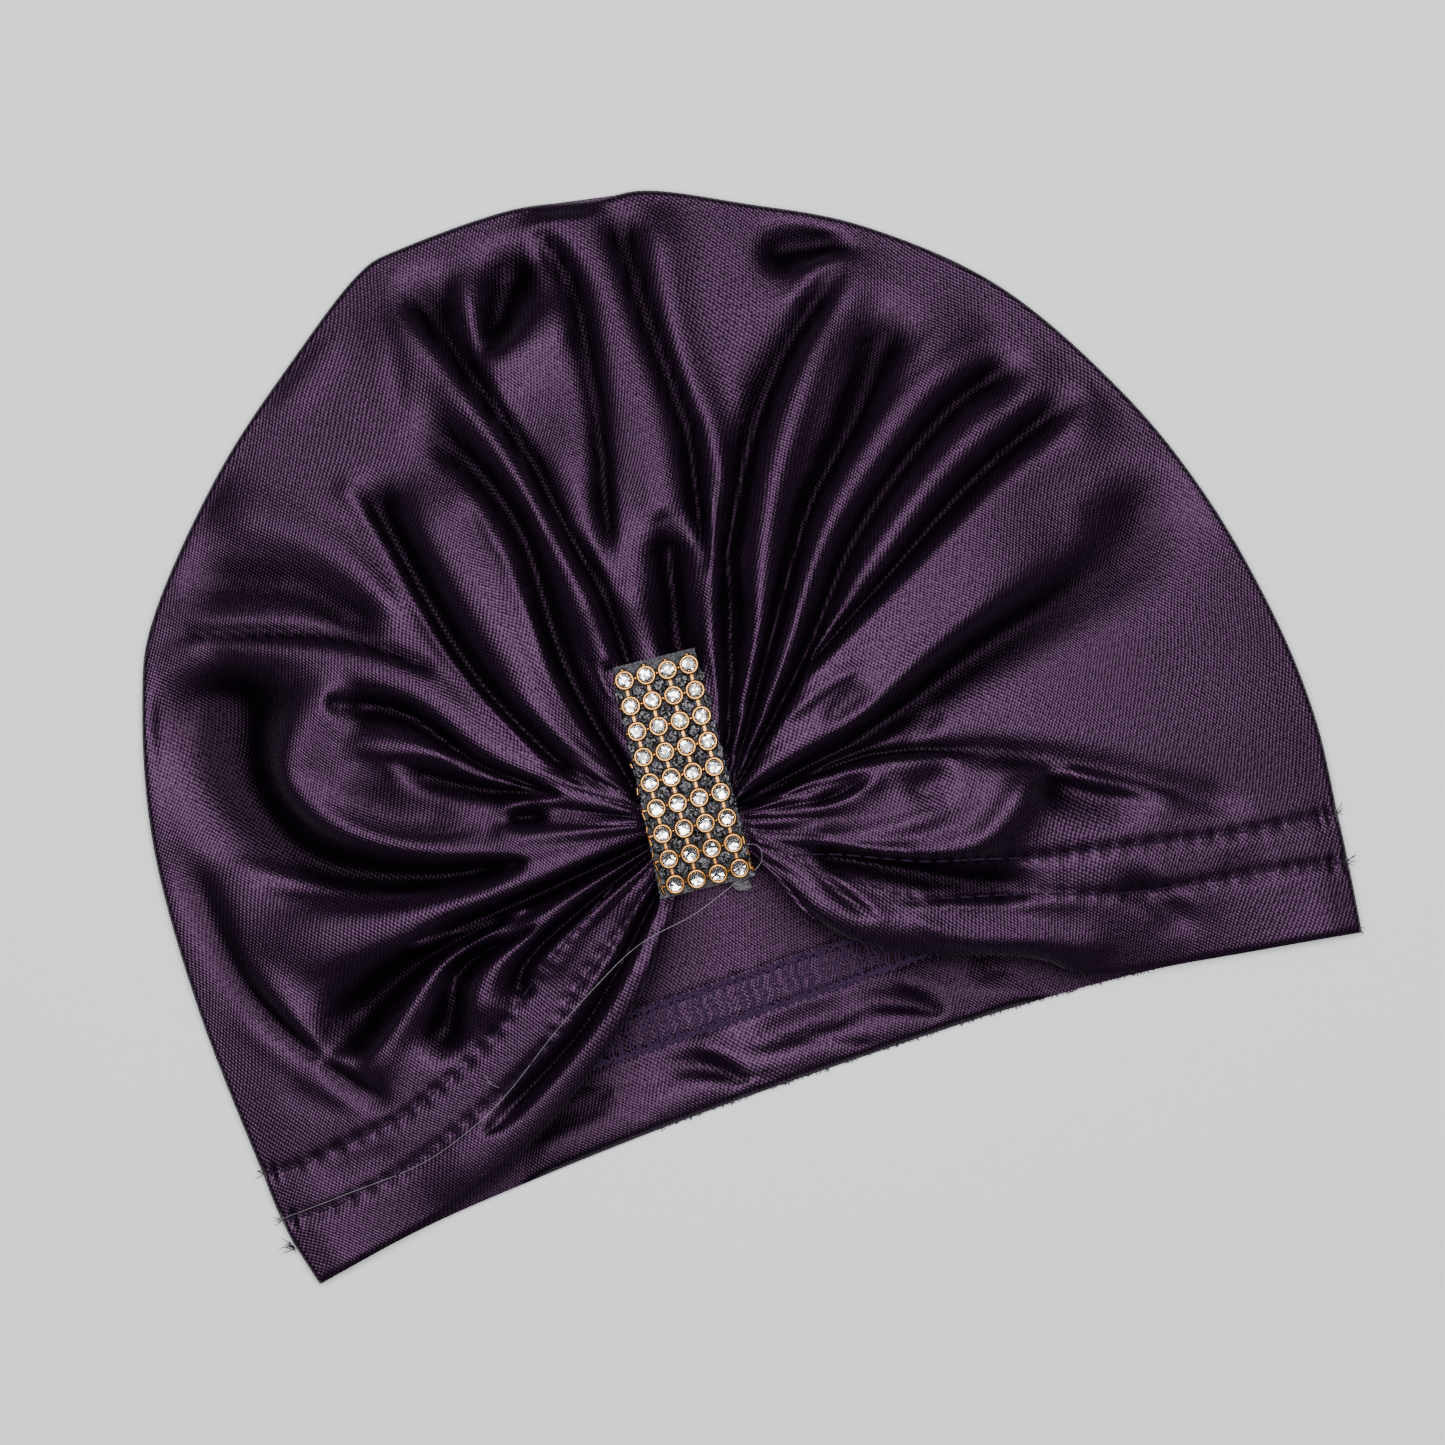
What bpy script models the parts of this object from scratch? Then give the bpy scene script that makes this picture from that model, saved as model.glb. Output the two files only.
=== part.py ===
"""A baby's satin turban cap lying flat: a front panel gathered into one bundle, a plain back
panel under it, and a strip of rhinestones in soldered gold cups over the gather."""
import math

import bmesh
import bpy
import numpy as np
from mathutils import Matrix, Vector

MM = 0.001

# Tables and sizes below are in millimetres on a plan of the cap. Its x runs along the hem
# from the hem's middle, its y from the hem corners to the crown, and its z up from the
# surface that the cap lies on. The model's origin is the middle of the cap's box.

# Plan outlines
DOME_EDGE = (
    (-100, -0.3), (-102.6, 11), (-103.5, 23), (-105, 55), (-103.3, 85), (-97, 110),
    (-89.5, 125), (-70, 145.8), (-50, 161.4), (-35, 171.5), (-26, 173.5), (-5, 173.8),
    (10, 170.7), (20, 169.2), (35, 161.8), (55, 150.6), (75, 132.3), (90, 107),
    (98.5, 84), (103.2, 60), (104.4, 40), (102.7, 22), (101.6, 12), (100, 0),
)
BACK_HEM = (
    (-100, -0.3), (-80, 3.2), (-60, 5.1), (-30, 6.8), (0, 7.4), (35, 7.2), (60, 5.8),
    (80, 3), (100, 0),
)
FRONT_HEM_LEFT = (
    (-12, 53.7), (-20, 40.5), (-29.7, 28.6), (-45, 17), (-60, 9), (-75, 4.2), (-100, -0.3),
)
FRONT_HEM_RIGHT = (
    (-6.2, 53.7), (1.5, 46), (8.2, 31.5), (20, 22), (41.6, 13.9), (52, 7.5), (75, 3.6),
    (100, 0),
)

# Cloth and gather
GATHER = (-9.1, 57.8)
GATHER_RADIUS = 5.0
GATHER_BEARINGS = (234.0, -54.0)
CLOTH_DROP = 1.6
BACK_WALL = 1.0
BACK_HEM_WALL = 1.6
BACK_HEM_DEPTH = 28.0
LOWEST_TOP = 3.5
PUFF_TOP = 14.5
PUFF_REACH = 34.0
GATHER_TOP = 12.4
HEM_CORNER_TOP = 4.2
HEM_CLIMB = 78.0
HEM_REACH = 42.0
RIM_FADE = 9.0
FRONT_COLUMNS = 74
FRONT_ROWS = 17
ROW_SPREAD = 1.15
FINEST_FOLD = 0.068
BACK_COLUMNS = 20
BACK_LEVELS = (0, 5, 14, 27, 29, 50, 75, 100, 122, 140, 154, 165, 173.2)

# Rhinestone strip
STRIP_MIDDLE = (-7.95, 66.7)
STRIP_TURN = math.radians(4.6)
STRIP_BEND = 140.0
STRIP_BEND_TOP = 4.0
STRIP_MARGIN = 3.0
STRIP_FALL = 6.0
PITCH_ALONG = 4.65
PITCH_ACROSS = 3.98
CUP_ROWS = 9
CUP_COLUMNS = 4
SIDES = 10
CUP_RADIUS = 1.785
CUP_BORE = 1.46
STONE_RADIUS = 1.35
TABLE_RADIUS = 0.76
BACKING_WIDTH = 17.0
BACKING_LENGTH = 42.4
BACKING_SHIFT = 0.3
BACKING_LIFT = (0.3, 1.3)
CUP_LIFT = (1.6, 3.2)
CUP_FLOOR_LIFT = 2.0
STONE_LIFTS = {"point": 2.15, "girdle_low": 2.86, "girdle_high": 2.96, "table": 3.45}
LINK_LIFT = (1.75, 2.15)
LINK_WIDTH = 0.9
LINK_GRIP = 0.22

# Colours
SATIN_PURPLE = (0.060, 0.020, 0.068, 1)
GOLD = (0.80, 0.52, 0.24, 1)
CLEAR = (0.92, 0.92, 0.94, 1)
CHARCOAL = (0.035, 0.032, 0.042, 1)

# The folds of the front panel. Each row has the fold's name, its height (a valley's is
# negative), its half width at the gather's end and at the far end, the shape of its foot
# (1 is a crease, 2 runs out softly), and its path from the gather outwards.
FOLDS = (
    # name, height, inner, outer, foot, path
    ("crown_left_ridge", 3.0, 1.3, 4.0, 1.3, ((-14.5, 90), (-18, 122), (-22, 142), (-34, 168))),
    ("crown_left_dent", -2.8, 1.2, 3.0, 1.2, ((-12, 105), (-15, 128), (-21, 146), (-32, 170))),
    ("crown_bowl", -2.6, 4.0, 6.0, 2.0, ((-8, 148), (-10, 158), (-8, 169))),
    ("crown_roll", 4.4, 2.2, 5.5, 1.5, ((-1, 90), (6, 120), (8, 148), (0, 171))),
    ("crown_groove", -2.6, 1.6, 3.0, 1.4, ((9, 105), (13.5, 130), (12, 168))),
    ("crown_right_ridge", 2.4, 3.0, 4.5, 1.6, ((16, 138), (17, 155), (20, 167))),
    ("crown_right_dent", -2.2, 4.0, 6.0, 2.0, ((22, 148), (28, 157), (40, 152))),
    ("pit_over_strip", -3.2, 1.6, 3.0, 1.5, ((-1, 89), (2, 103), (3, 116))),
    ("ridge_by_pit", 2.2, 1.2, 2.2, 1.4, ((1.5, 72), (8, 97), (14, 115))),
    ("groove_by_pit", -2.2, 1.0, 2.0, 1.4, ((2, 70), (6, 84), (12, 102))),
    ("right_1_ridge", 3.6, 1.1, 4.2, 1.4, ((2, 65), (15, 92), (27, 118), (54, 150))),
    ("right_1_valley", -3.6, 1.1, 5.0, 1.5, ((14, 104), (28, 124), (40, 137), (50, 149))),
    ("right_2_valley", -4.0, 1.1, 5.0, 1.4, ((2, 66), (20, 92), (35, 111), (52, 137))),
    ("right_2_ridge", 3.6, 1.1, 4.2, 1.4, ((1, 63), (18, 84), (36, 107), (72, 125))),
    ("right_3_valley", -3.8, 1.0, 4.6, 1.5, ((2, 62.5), (24, 84), (39, 102), (58, 116))),
    ("right_3_ridge", 3.0, 2.2, 3.2, 1.5, ((26, 80), (40, 91), (60, 107), (82, 116))),
    ("right_4_valley", -2.8, 1.6, 4.6, 1.3, ((24, 80), (45, 93), (65, 104), (84, 112))),
    ("right_4_roll", 3.0, 1.2, 5.0, 1.5, ((1, 61.5), (22, 77), (50, 91), (84, 106))),
    ("right_broad_roll", 3.8, 1.6, 9.0, 1.6, ((4, 60), (28, 68), (52, 79), (76, 84))),
    ("right_hook_valley", -3.8, 1.4, 4.5, 1.4, ((31, 63), (52, 72.5), (74, 76), (90, 91))),
    ("hem_fold_edge", -2.2, 1.2, 2.6, 1.1, ((5, 58.5), (30, 58.3), (60, 46), (90, 26))),
    ("hem_fold_ridge", 2.2, 1.0, 2.6, 1.4, ((4, 56.5), (20, 59), (45, 53))),
    ("hem_right_band", -3.4, 1.4, 3.6, 1.4, ((8, 46), (20, 40), (34, 32.5), (50, 26))),
    ("hem_right_peak", 2.6, 1.2, 3.0, 1.4, ((8, 50), (24, 41), (40, 38), (54.5, 48))),
    ("hem_right_pit", -2.8, 3.0, 4.0, 1.6, ((52, 45), (60, 40), (75, 33))),
    ("hem_right_ridge", 2.0, 2.0, 2.5, 1.5, ((56, 46.5), (64, 40.5), (76, 31))),
    ("hem_right_roll", 2.6, 1.6, 3.0, 1.4, ((1, 49), (9, 36), (22, 26.5), (58, 11))),
    ("hem_right_dimple", -2.0, 2.4, 2.8, 1.6, ((60, 25), (66, 17), (71, 7))),
    ("left_crease", -1.8, 1.2, 2.0, 1.1, ((-43, 98), (-60, 110.5), (-90, 121.5))),
    ("left_1_ridge", 3.0, 1.0, 3.8, 1.4, ((-19, 63), (-38, 79), (-52, 101), (-90, 119))),
    ("left_1_valley", -3.0, 1.0, 3.4, 1.4, ((-18, 70), (-22, 92), (-23, 122), (-34, 146))),
    ("left_2_valley", -3.0, 1.0, 4.0, 1.4, ((-27, 71), (-37, 93), (-43, 118), (-46, 138))),
    ("left_2_roll", 3.6, 1.0, 5.0, 1.6, ((-17.5, 65), (-27, 88), (-34, 113), (-38, 134))),
    ("left_shoulder", 1.6, 3.0, 4.0, 1.8, ((-48, 112), (-58, 128), (-73, 141))),
    ("left_big_dent", -4.4, 2.4, 7.0, 1.6, ((-46, 61.5), (-72, 70.5), (-83, 88), (-82, 113))),
    ("left_big_roll", 4.6, 1.2, 9.0, 1.6, ((-19, 60.5), (-46, 66), (-68, 82), (-69, 108))),
    ("left_roll_wedge", -2.6, 1.4, 3.0, 1.4, ((-34, 71.5), (-47, 77), (-59, 85))),
    ("left_3_valley", -3.4, 1.4, 3.4, 1.4, ((-36, 73), (-46, 85), (-65, 99.5))),
    ("left_3_ridge", 2.6, 1.4, 3.0, 1.4, ((-34, 72.5), (-48, 84), (-67, 92.5))),
    ("left_main_ridge", 3.6, 1.0, 3.8, 1.4, ((-18, 58), (-40, 56.5), (-66, 57), (-94, 62.5))),
    ("left_main_valley", -2.6, 1.0, 2.8, 1.4, ((-20, 56), (-44, 54), (-72, 49))),
    ("left_dark_dent", -4.6, 4.0, 7.5, 1.8, ((-54, 48), (-70, 44), (-84, 37))),
    ("left_4_ridge", 2.8, 1.0, 3.2, 1.4, ((-48, 51.5), (-62, 46), (-82, 32))),
    ("left_4_valley", -3.4, 2.0, 3.4, 1.5, ((-46, 48), (-60, 43), (-69, 32))),
    ("left_5_ridge", 2.8, 0.9, 2.8, 1.4, ((-17, 56.5), (-38, 51), (-53, 43), (-58, 34))),
    ("left_6_ridge", 2.2, 0.9, 2.2, 1.4, ((-18, 54.5), (-34, 48), (-46, 42))),
    ("left_rim_crease", -1.6, 1.6, 2.2, 1.3, ((-76, 25), (-87, 39), (-96, 58), (-98, 82))),
    ("hem_left_roll", 3.0, 1.6, 3.6, 1.4, ((-17, 48), (-35, 28.5), (-55, 16.5), (-78, 8))),
    ("hem_left_valley", -2.2, 1.0, 2.0, 1.4, ((-19, 48), (-39, 29.5), (-62, 16.5))),
)


def curve_through(points, per_span=8):
    """A smooth Catmull-Rom curve through the points of a row."""
    spots = np.array(points, float)
    spots = np.vstack([2 * spots[0] - spots[1], spots, 2 * spots[-1] - spots[-2]])
    steps = np.linspace(0, 1, per_span, endpoint=False)[:, None]
    curve = []
    for a, b, c, d in zip(spots, spots[1:], spots[2:], spots[3:]):
        bend = (2 * a - 5 * b + 4 * c - d) * steps ** 2 + (3 * b - a - 3 * c + d) * steps ** 3
        curve.append(b + 0.5 * ((c - a) * steps + bend))
    return np.vstack(curve + [spots[-2:-1]])


def point_along(curve, share):
    """The point of a curve at a share of its length."""
    lengths = np.hypot(*np.diff(curve, axis=0).T)
    marks = np.concatenate([[0], np.cumsum(lengths)]) / lengths.sum()
    return np.stack([np.interp(share, marks, curve[:, k]) for k in (0, 1)], axis=-1)


def nearest_on(curve, x, y):
    """How far each place is from a curve, and at what share of the curve it is nearest."""
    gap = np.full(x.shape, 1e9)
    share = np.zeros(x.shape)
    for k, (a, b) in enumerate(zip(curve, curve[1:])):
        step = b - a
        t = ((x - a[0]) * step[0] + (y - a[1]) * step[1]) / (step @ step)
        t = np.clip(t, 0, 1)
        away = np.hypot(x - a[0] - t * step[0], y - a[1] - t * step[1])
        share = np.where(away < gap, (k + t) / (len(curve) - 1), share)
        gap = np.minimum(gap, away)
    return gap, share


def smooth_step(t):
    t = np.clip(t, 0, 1)
    return t * t * (3 - 2 * t)


DOME = curve_through(DOME_EDGE)
HEM_LEFT = curve_through(FRONT_HEM_LEFT)
HEM_RIGHT = curve_through(FRONT_HEM_RIGHT)
HEM_BACK = curve_through(BACK_HEM)
PLAN_MIDDLE = (DOME.min(axis=0) + DOME.max(axis=0)) / 2


def to_model(x, y, z):
    """Plan millimetres to model metres."""
    return np.stack([x - PLAN_MIDDLE[0], y - PLAN_MIDDLE[1], z], axis=-1) * MM


def strip_frame(x, y):
    """Places on the plan as distances along and across the strip."""
    dx = x - STRIP_MIDDLE[0]
    dy = y - STRIP_MIDDLE[1]
    along = dx * math.sin(STRIP_TURN) + dy * math.cos(STRIP_TURN)
    across = dx * math.cos(STRIP_TURN) - dy * math.sin(STRIP_TURN)
    return along, across


def strip_place(along, across, lift):
    """A place on the bent strip, lifted square to it from the cloth."""
    angle = (along - STRIP_BEND_TOP) / STRIP_BEND
    reach = STRIP_BEND_TOP + (STRIP_BEND + lift) * np.sin(angle)
    z = GATHER_TOP - STRIP_BEND * (1 - np.cos(angle)) + lift * np.cos(angle)
    x = STRIP_MIDDLE[0] + across * math.cos(STRIP_TURN) + reach * math.sin(STRIP_TURN)
    y = STRIP_MIDDLE[1] - across * math.sin(STRIP_TURN) + reach * math.cos(STRIP_TURN)
    return x, y, z


def puffed_height(x, y):
    """The cap's form without its folds: high in the middle, low at the seam and the hem."""
    rim_gap, _ = nearest_on(DOME, x, y)
    rise = 1 - np.clip(rim_gap / PUFF_REACH, 0, 1)
    pillow = LOWEST_TOP + (PUFF_TOP - LOWEST_TOP) * (1 - rise ** 2.4) ** 0.62
    left_gap, _ = nearest_on(HEM_LEFT, x, y)
    right_gap, _ = nearest_on(HEM_RIGHT, x, y)
    hem_gap = np.minimum(left_gap, right_gap)
    from_gather = np.hypot(x - GATHER[0], y - GATHER[1])
    climb = smooth_step(1 - from_gather / HEM_CLIMB)
    hem = HEM_CORNER_TOP + (GATHER_TOP - HEM_CORNER_TOP) * climb
    inward = 1 - (1 - np.clip(hem_gap / HEM_REACH, 0, 1)) ** 2.2
    return np.where(pillow > hem, hem + (pillow - hem) * inward, pillow)


def fold_relief(x, y):
    """What the folds add to the height. None is narrower than the columns of the cloth."""
    relief = np.zeros(x.shape)
    finest = FINEST_FOLD * np.hypot(x - GATHER[0], y - GATHER[1])
    for _, height, inner, outer, foot, path in FOLDS:
        gap, share = nearest_on(curve_through(path, 5), x, y)
        width = np.maximum(inner + (outer - inner) * share, finest)
        swell = (1 - np.clip(gap / width, 0, 1) ** 2) ** foot
        fade = smooth_step(share / 0.08) * smooth_step((1 - share) / 0.3)
        relief += height * np.minimum(width / max(inner, outer), 1) * swell * fade
    rim_gap, _ = nearest_on(DOME, x, y)
    return relief * smooth_step(rim_gap / RIM_FADE)


def front_height(x, y):
    """The top of the front panel, pressed flat where the strip lies on it."""
    z = puffed_height(x, y) + fold_relief(x, y)
    along, across = strip_frame(x, y)
    _, _, rest = strip_place(along, across, 0)
    past_end = np.abs(along - BACKING_SHIFT) - BACKING_LENGTH / 2
    past_side = np.abs(across) - BACKING_WIDTH / 2
    past = np.hypot(np.maximum(past_end, 0), np.maximum(past_side, 0))
    free = smooth_step((past - STRIP_MARGIN) / STRIP_FALL)
    return np.maximum(rest + (z - rest) * free, LOWEST_TOP)


def dome_point(bearing):
    """Where a ray from the gather meets the dome's edge."""
    away = DOME - np.array(GATHER)
    bearings = np.degrees(np.unwrap(np.arctan2(away[:, 1], away[:, 0])[::-1]))
    reach = np.hypot(away[:, 0], away[:, 1])[::-1]
    distance = np.interp(bearing, bearings, reach)
    angle = np.radians(bearing)
    return np.array([GATHER[0] + distance * np.cos(angle), GATHER[1] + distance * np.sin(angle)])


def hem_bow(curve, shares):
    """How far a hem curve stands off the straight line between its ends."""
    straight = curve[0] + (curve[-1] - curve[0]) * shares[:, None]
    return point_along(curve, shares) - straight


def front_plan():
    """The plan of the front panel: columns fan out from the gather, the first and the last
    run along the hem, and the ones beside them bow with it."""
    away = DOME[[0, -1]] - np.array(GATHER)
    first, last = np.degrees(np.arctan2(away[:, 1], away[:, 0]))
    shares = np.linspace(0, 1, FRONT_ROWS + 1) ** ROW_SPREAD
    left_bow = hem_bow(HEM_LEFT, shares)
    right_bow = hem_bow(HEM_RIGHT, shares)
    columns = []
    for u in np.linspace(0, 1, FRONT_COLUMNS + 1):
        outer = dome_point(first + 360 + (last - first - 360) * u)
        angle = math.radians(GATHER_BEARINGS[0] + (GATHER_BEARINGS[1] - GATHER_BEARINGS[0]) * u)
        inner = np.array(GATHER) + GATHER_RADIUS * np.array([math.cos(angle), math.sin(angle)])
        bow = left_bow * max(0, 1 - u / 0.24) ** 2 + right_bow * max(0, 1 - (1 - u) / 0.24) ** 2
        columns.append(inner + (outer - inner) * shares[:, None] + bow)
    return np.array(columns)


def back_row(level):
    """One row of the back panel's plan, from the left edge to the right."""
    turn = int(np.argmax(DOME[:, 1]))
    left = np.interp(level, DOME[:turn + 1, 1], DOME[:turn + 1, 0])
    right = np.interp(-level, -DOME[turn:, 1], DOME[turn:, 0])
    shares = np.linspace(0, 1, BACK_COLUMNS + 1)
    x = left + (right - left) * shares
    hem = np.interp(x, HEM_BACK[:, 0], HEM_BACK[:, 1])
    y = level + hem * max(0, 1 - level / 60)
    return np.stack([x, y], axis=-1)


def plain_material(name, colour, roughness, metallic=0.0):
    material = bpy.data.materials.new(name)
    material.use_nodes = True
    shader = material.node_tree.nodes["Principled BSDF"]
    shader.inputs["Base Color"].default_value = colour
    shader.inputs["Roughness"].default_value = roughness
    shader.inputs["Metallic"].default_value = metallic
    return material


def add_object(name, builder, material, smooth=True):
    """A named object made from a bmesh, with its material."""
    mesh = bpy.data.meshes.new(name)
    bmesh.ops.recalc_face_normals(builder, faces=builder.faces)
    builder.to_mesh(mesh)
    builder.free()
    mesh.materials.append(material)
    if smooth:
        mesh.shade_smooth()
        mesh.set_sharp_from_angle(angle=math.radians(40))
    piece = bpy.data.objects.new(name, mesh)
    bpy.context.scene.collection.objects.link(piece)
    return piece


def cloth_solid(name, top, bottom, material):
    """A closed wall of cloth between two lattices of points with the same plan."""
    builder = bmesh.new()
    across, along, _ = top.shape
    upper = [[builder.verts.new(top[i, j]) for j in range(along)] for i in range(across)]
    lower = [[builder.verts.new(bottom[i, j]) for j in range(along)] for i in range(across)]
    for i in range(across - 1):
        for j in range(along - 1):
            for side in (upper, lower):
                builder.faces.new((side[i][j], side[i + 1][j], side[i + 1][j + 1]))
                builder.faces.new((side[i][j], side[i + 1][j + 1], side[i][j + 1]))
    edge = [(i, 0) for i in range(across)]
    edge += [(across - 1, j) for j in range(1, along)]
    edge += [(i, along - 1) for i in range(across - 2, -1, -1)]
    edge += [(0, j) for j in range(along - 2, 0, -1)]
    for (i, j), (k, m) in zip(edge, edge[1:] + edge[:1]):
        builder.faces.new((upper[i][j], upper[k][m], lower[k][m], lower[i][j]))
    return add_object(name, builder, material)


def make_front_panel(material):
    plan = front_plan()
    x, y = plan[..., 0], plan[..., 1]
    height = front_height(x, y)
    cloth_solid("front_panel", to_model(x, y, height), to_model(x, y, height - CLOTH_DROP), material)


def make_back_panel(material):
    plan = np.array([back_row(level) for level in BACK_LEVELS])
    x, y = plan[..., 0], plan[..., 1]
    levels = np.array(BACK_LEVELS, float)[:, None] + np.zeros(x.shape)
    height = np.where(levels < BACK_HEM_DEPTH, BACK_HEM_WALL, BACK_WALL)
    cloth_solid("back_panel", to_model(x, y, height), to_model(x, y, 0 * height), material)


def make_backing(material):
    along = np.linspace(-BACKING_LENGTH / 2, BACKING_LENGTH / 2, 9) + BACKING_SHIFT
    across = np.linspace(-BACKING_WIDTH / 2, BACKING_WIDTH / 2, 3)
    along, across = np.meshgrid(along, across, indexing="ij")
    bottom, top = [to_model(*strip_place(along, across, lift)) for lift in BACKING_LIFT]
    cloth_solid("strip_backing", top, bottom, material)


def turned(builder, profile, matrix):
    """A closed turned solid of SIDES sides. The profile runs from axis to axis."""
    rings = []
    for radius, height in profile:
        if radius == 0:
            rings.append([builder.verts.new(matrix @ Vector((0, 0, height)))])
            continue
        ring = []
        for k in range(SIDES):
            angle = math.tau * (k + 0.5) / SIDES
            spot = Vector((radius * math.cos(angle), radius * math.sin(angle), height))
            ring.append(builder.verts.new(matrix @ spot))
        rings.append(ring)
    for low, high in zip(rings, rings[1:]):
        for k in range(SIDES):
            m = (k + 1) % SIDES
            corners = [low[k % len(low)], low[m % len(low)], high[m % len(high)], high[k % len(high)]]
            builder.faces.new(list(dict.fromkeys(corners)))


def box(builder, low, high, matrix):
    """A closed box between two corners."""
    made = bmesh.ops.create_cube(builder, size=1)["verts"]
    for vert in made:
        spot = [a + (b - a) * (c + 0.5) for a, b, c in zip(low, high, vert.co)]
        vert.co = matrix @ Vector(spot)


def strip_matrix(along, across):
    """Turns a cup's own millimetres, z square to the strip, into model metres."""
    angle = (along - STRIP_BEND_TOP) / STRIP_BEND
    base = Vector(to_model(*strip_place(along, across, 0)))
    turn = Matrix.Rotation(-STRIP_TURN, 4, "Z") @ Matrix.Rotation(-angle, 4, "X")
    return Matrix.Translation(base) @ turn @ Matrix.Scale(MM, 4)


def cup_places():
    """Row and column numbers from 1, with each cup's place along and across the strip."""
    for row in range(CUP_ROWS):
        along = ((CUP_ROWS - 1) / 2 - row) * PITCH_ALONG
        for column in range(CUP_COLUMNS):
            yield row + 1, column + 1, along, (column - (CUP_COLUMNS - 1) / 2) * PITCH_ACROSS


def make_setting(material):
    """Cups as tubs with a floor, and the links between them, joined into one solid."""
    cup = (
        (0, CUP_LIFT[0]), (CUP_RADIUS, CUP_LIFT[0]), (CUP_RADIUS, CUP_LIFT[1]),
        (CUP_BORE, CUP_LIFT[1]), (CUP_BORE, CUP_FLOOR_LIFT), (0, CUP_FLOOR_LIFT),
    )
    cups = bmesh.new()
    links = bmesh.new()
    reach_along = PITCH_ALONG - CUP_RADIUS + LINK_GRIP
    reach_across = PITCH_ACROSS - CUP_RADIUS + LINK_GRIP
    start = CUP_RADIUS - LINK_GRIP
    half = LINK_WIDTH / 2
    for row, column, along, across in cup_places():
        turned(cups, cup, strip_matrix(along, across))
        if row < CUP_ROWS:
            matrix = strip_matrix(along - PITCH_ALONG / 2, across)
            low = (-half, start - PITCH_ALONG / 2, LINK_LIFT[0])
            box(links, low, (half, reach_along - PITCH_ALONG / 2, LINK_LIFT[1]), matrix)
        if column < CUP_COLUMNS:
            matrix = strip_matrix(along, across)
            box(links, (start, -half, LINK_LIFT[0]), (reach_across, half, LINK_LIFT[1]), matrix)
    piece = add_object("strip_setting", cups, material)
    guide = add_object("strip_links", links, material)
    guide.hide_render = True
    guide.display_type = "WIRE"
    join = piece.modifiers.new("join_links", "BOOLEAN")
    join.operation = "UNION"
    join.solver = "EXACT"
    join.object = guide
    return piece


def make_stones(material):
    """A table, a ring of crown facets and a pointed pavilion for each cup."""
    lifts = STONE_LIFTS
    stone = (
        (0, lifts["point"]), (STONE_RADIUS, lifts["girdle_low"]), (STONE_RADIUS, lifts["girdle_high"]),
        (TABLE_RADIUS, lifts["table"]), (0, lifts["table"]),
    )
    for row, column, along, across in cup_places():
        builder = bmesh.new()
        turned(builder, stone, strip_matrix(along, across))
        add_object(f"stone_r{row}_c{column}", builder, material, smooth=False)


def clear_scene():
    for thing in list(bpy.data.objects):
        bpy.data.objects.remove(thing)


def main():
    clear_scene()
    satin = plain_material("satin", SATIN_PURPLE, 0.38)
    satin_back = plain_material("satin_back", SATIN_PURPLE, 0.42)
    backing = plain_material("glitter_backing", CHARCOAL, 0.6)
    gold = plain_material("gold", GOLD, 0.25, 1.0)
    clear = plain_material("rhinestone", CLEAR, 0.05)
    make_back_panel(satin_back)
    make_front_panel(satin)
    make_backing(backing)
    make_setting(gold)
    make_stones(clear)


main()
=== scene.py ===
"""The looks of a baby's satin turban cap lying flat: gathered satin, its stitching and loose
threads, and the strip of rhinestones over the gather."""
import math
import random

import bmesh
import bpy
import numpy as np
from mathutils import Matrix, Vector


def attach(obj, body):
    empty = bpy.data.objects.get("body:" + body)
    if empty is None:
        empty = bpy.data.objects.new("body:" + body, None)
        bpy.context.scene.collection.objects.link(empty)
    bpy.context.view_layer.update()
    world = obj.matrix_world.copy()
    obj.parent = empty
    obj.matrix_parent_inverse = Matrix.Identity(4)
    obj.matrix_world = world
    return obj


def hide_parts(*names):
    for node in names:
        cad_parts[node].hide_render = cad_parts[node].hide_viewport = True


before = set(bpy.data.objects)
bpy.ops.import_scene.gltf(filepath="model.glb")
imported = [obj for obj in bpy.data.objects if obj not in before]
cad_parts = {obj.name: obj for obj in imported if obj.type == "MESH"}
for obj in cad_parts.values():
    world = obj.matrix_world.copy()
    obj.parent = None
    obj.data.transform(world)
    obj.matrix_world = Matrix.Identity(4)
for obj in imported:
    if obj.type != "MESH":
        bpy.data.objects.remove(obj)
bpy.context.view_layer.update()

MM = 0.001

# Tables and sizes below are in millimetres on a plan of the cap. Its x runs along the hem
# from the hem's middle, its y from the hem corners to the crown, and its z up from the
# surface that the cap lies on. The frame's origin is the middle of the cap's box.

# Plan outlines
DOME_EDGE = (
    (-100, -0.3), (-102.6, 11), (-103.5, 23), (-105, 55), (-103.3, 85), (-97, 110),
    (-89.5, 125), (-70, 145.8), (-50, 161.4), (-35, 171.5), (-26, 173.5), (-5, 173.8),
    (10, 170.7), (20, 169.2), (35, 161.8), (55, 150.6), (75, 132.3), (90, 107),
    (98.5, 84), (103.2, 60), (104.4, 40), (102.7, 22), (101.6, 12), (100, 0),
)
BACK_HEM = (
    (-100, -0.3), (-80, 3.2), (-60, 5.1), (-30, 6.8), (0, 7.4), (35, 7.2), (60, 5.8),
    (80, 3), (100, 0),
)
FRONT_HEM_LEFT = (
    (-12, 53.7), (-20, 40.5), (-29.7, 28.6), (-45, 17), (-60, 9), (-75, 4.2), (-100, -0.3),
)
FRONT_HEM_RIGHT = (
    (-6.2, 53.7), (1.5, 46), (8.2, 31.5), (20, 22), (41.6, 13.9), (52, 7.5), (75, 3.6),
    (100, 0),
)

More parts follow.
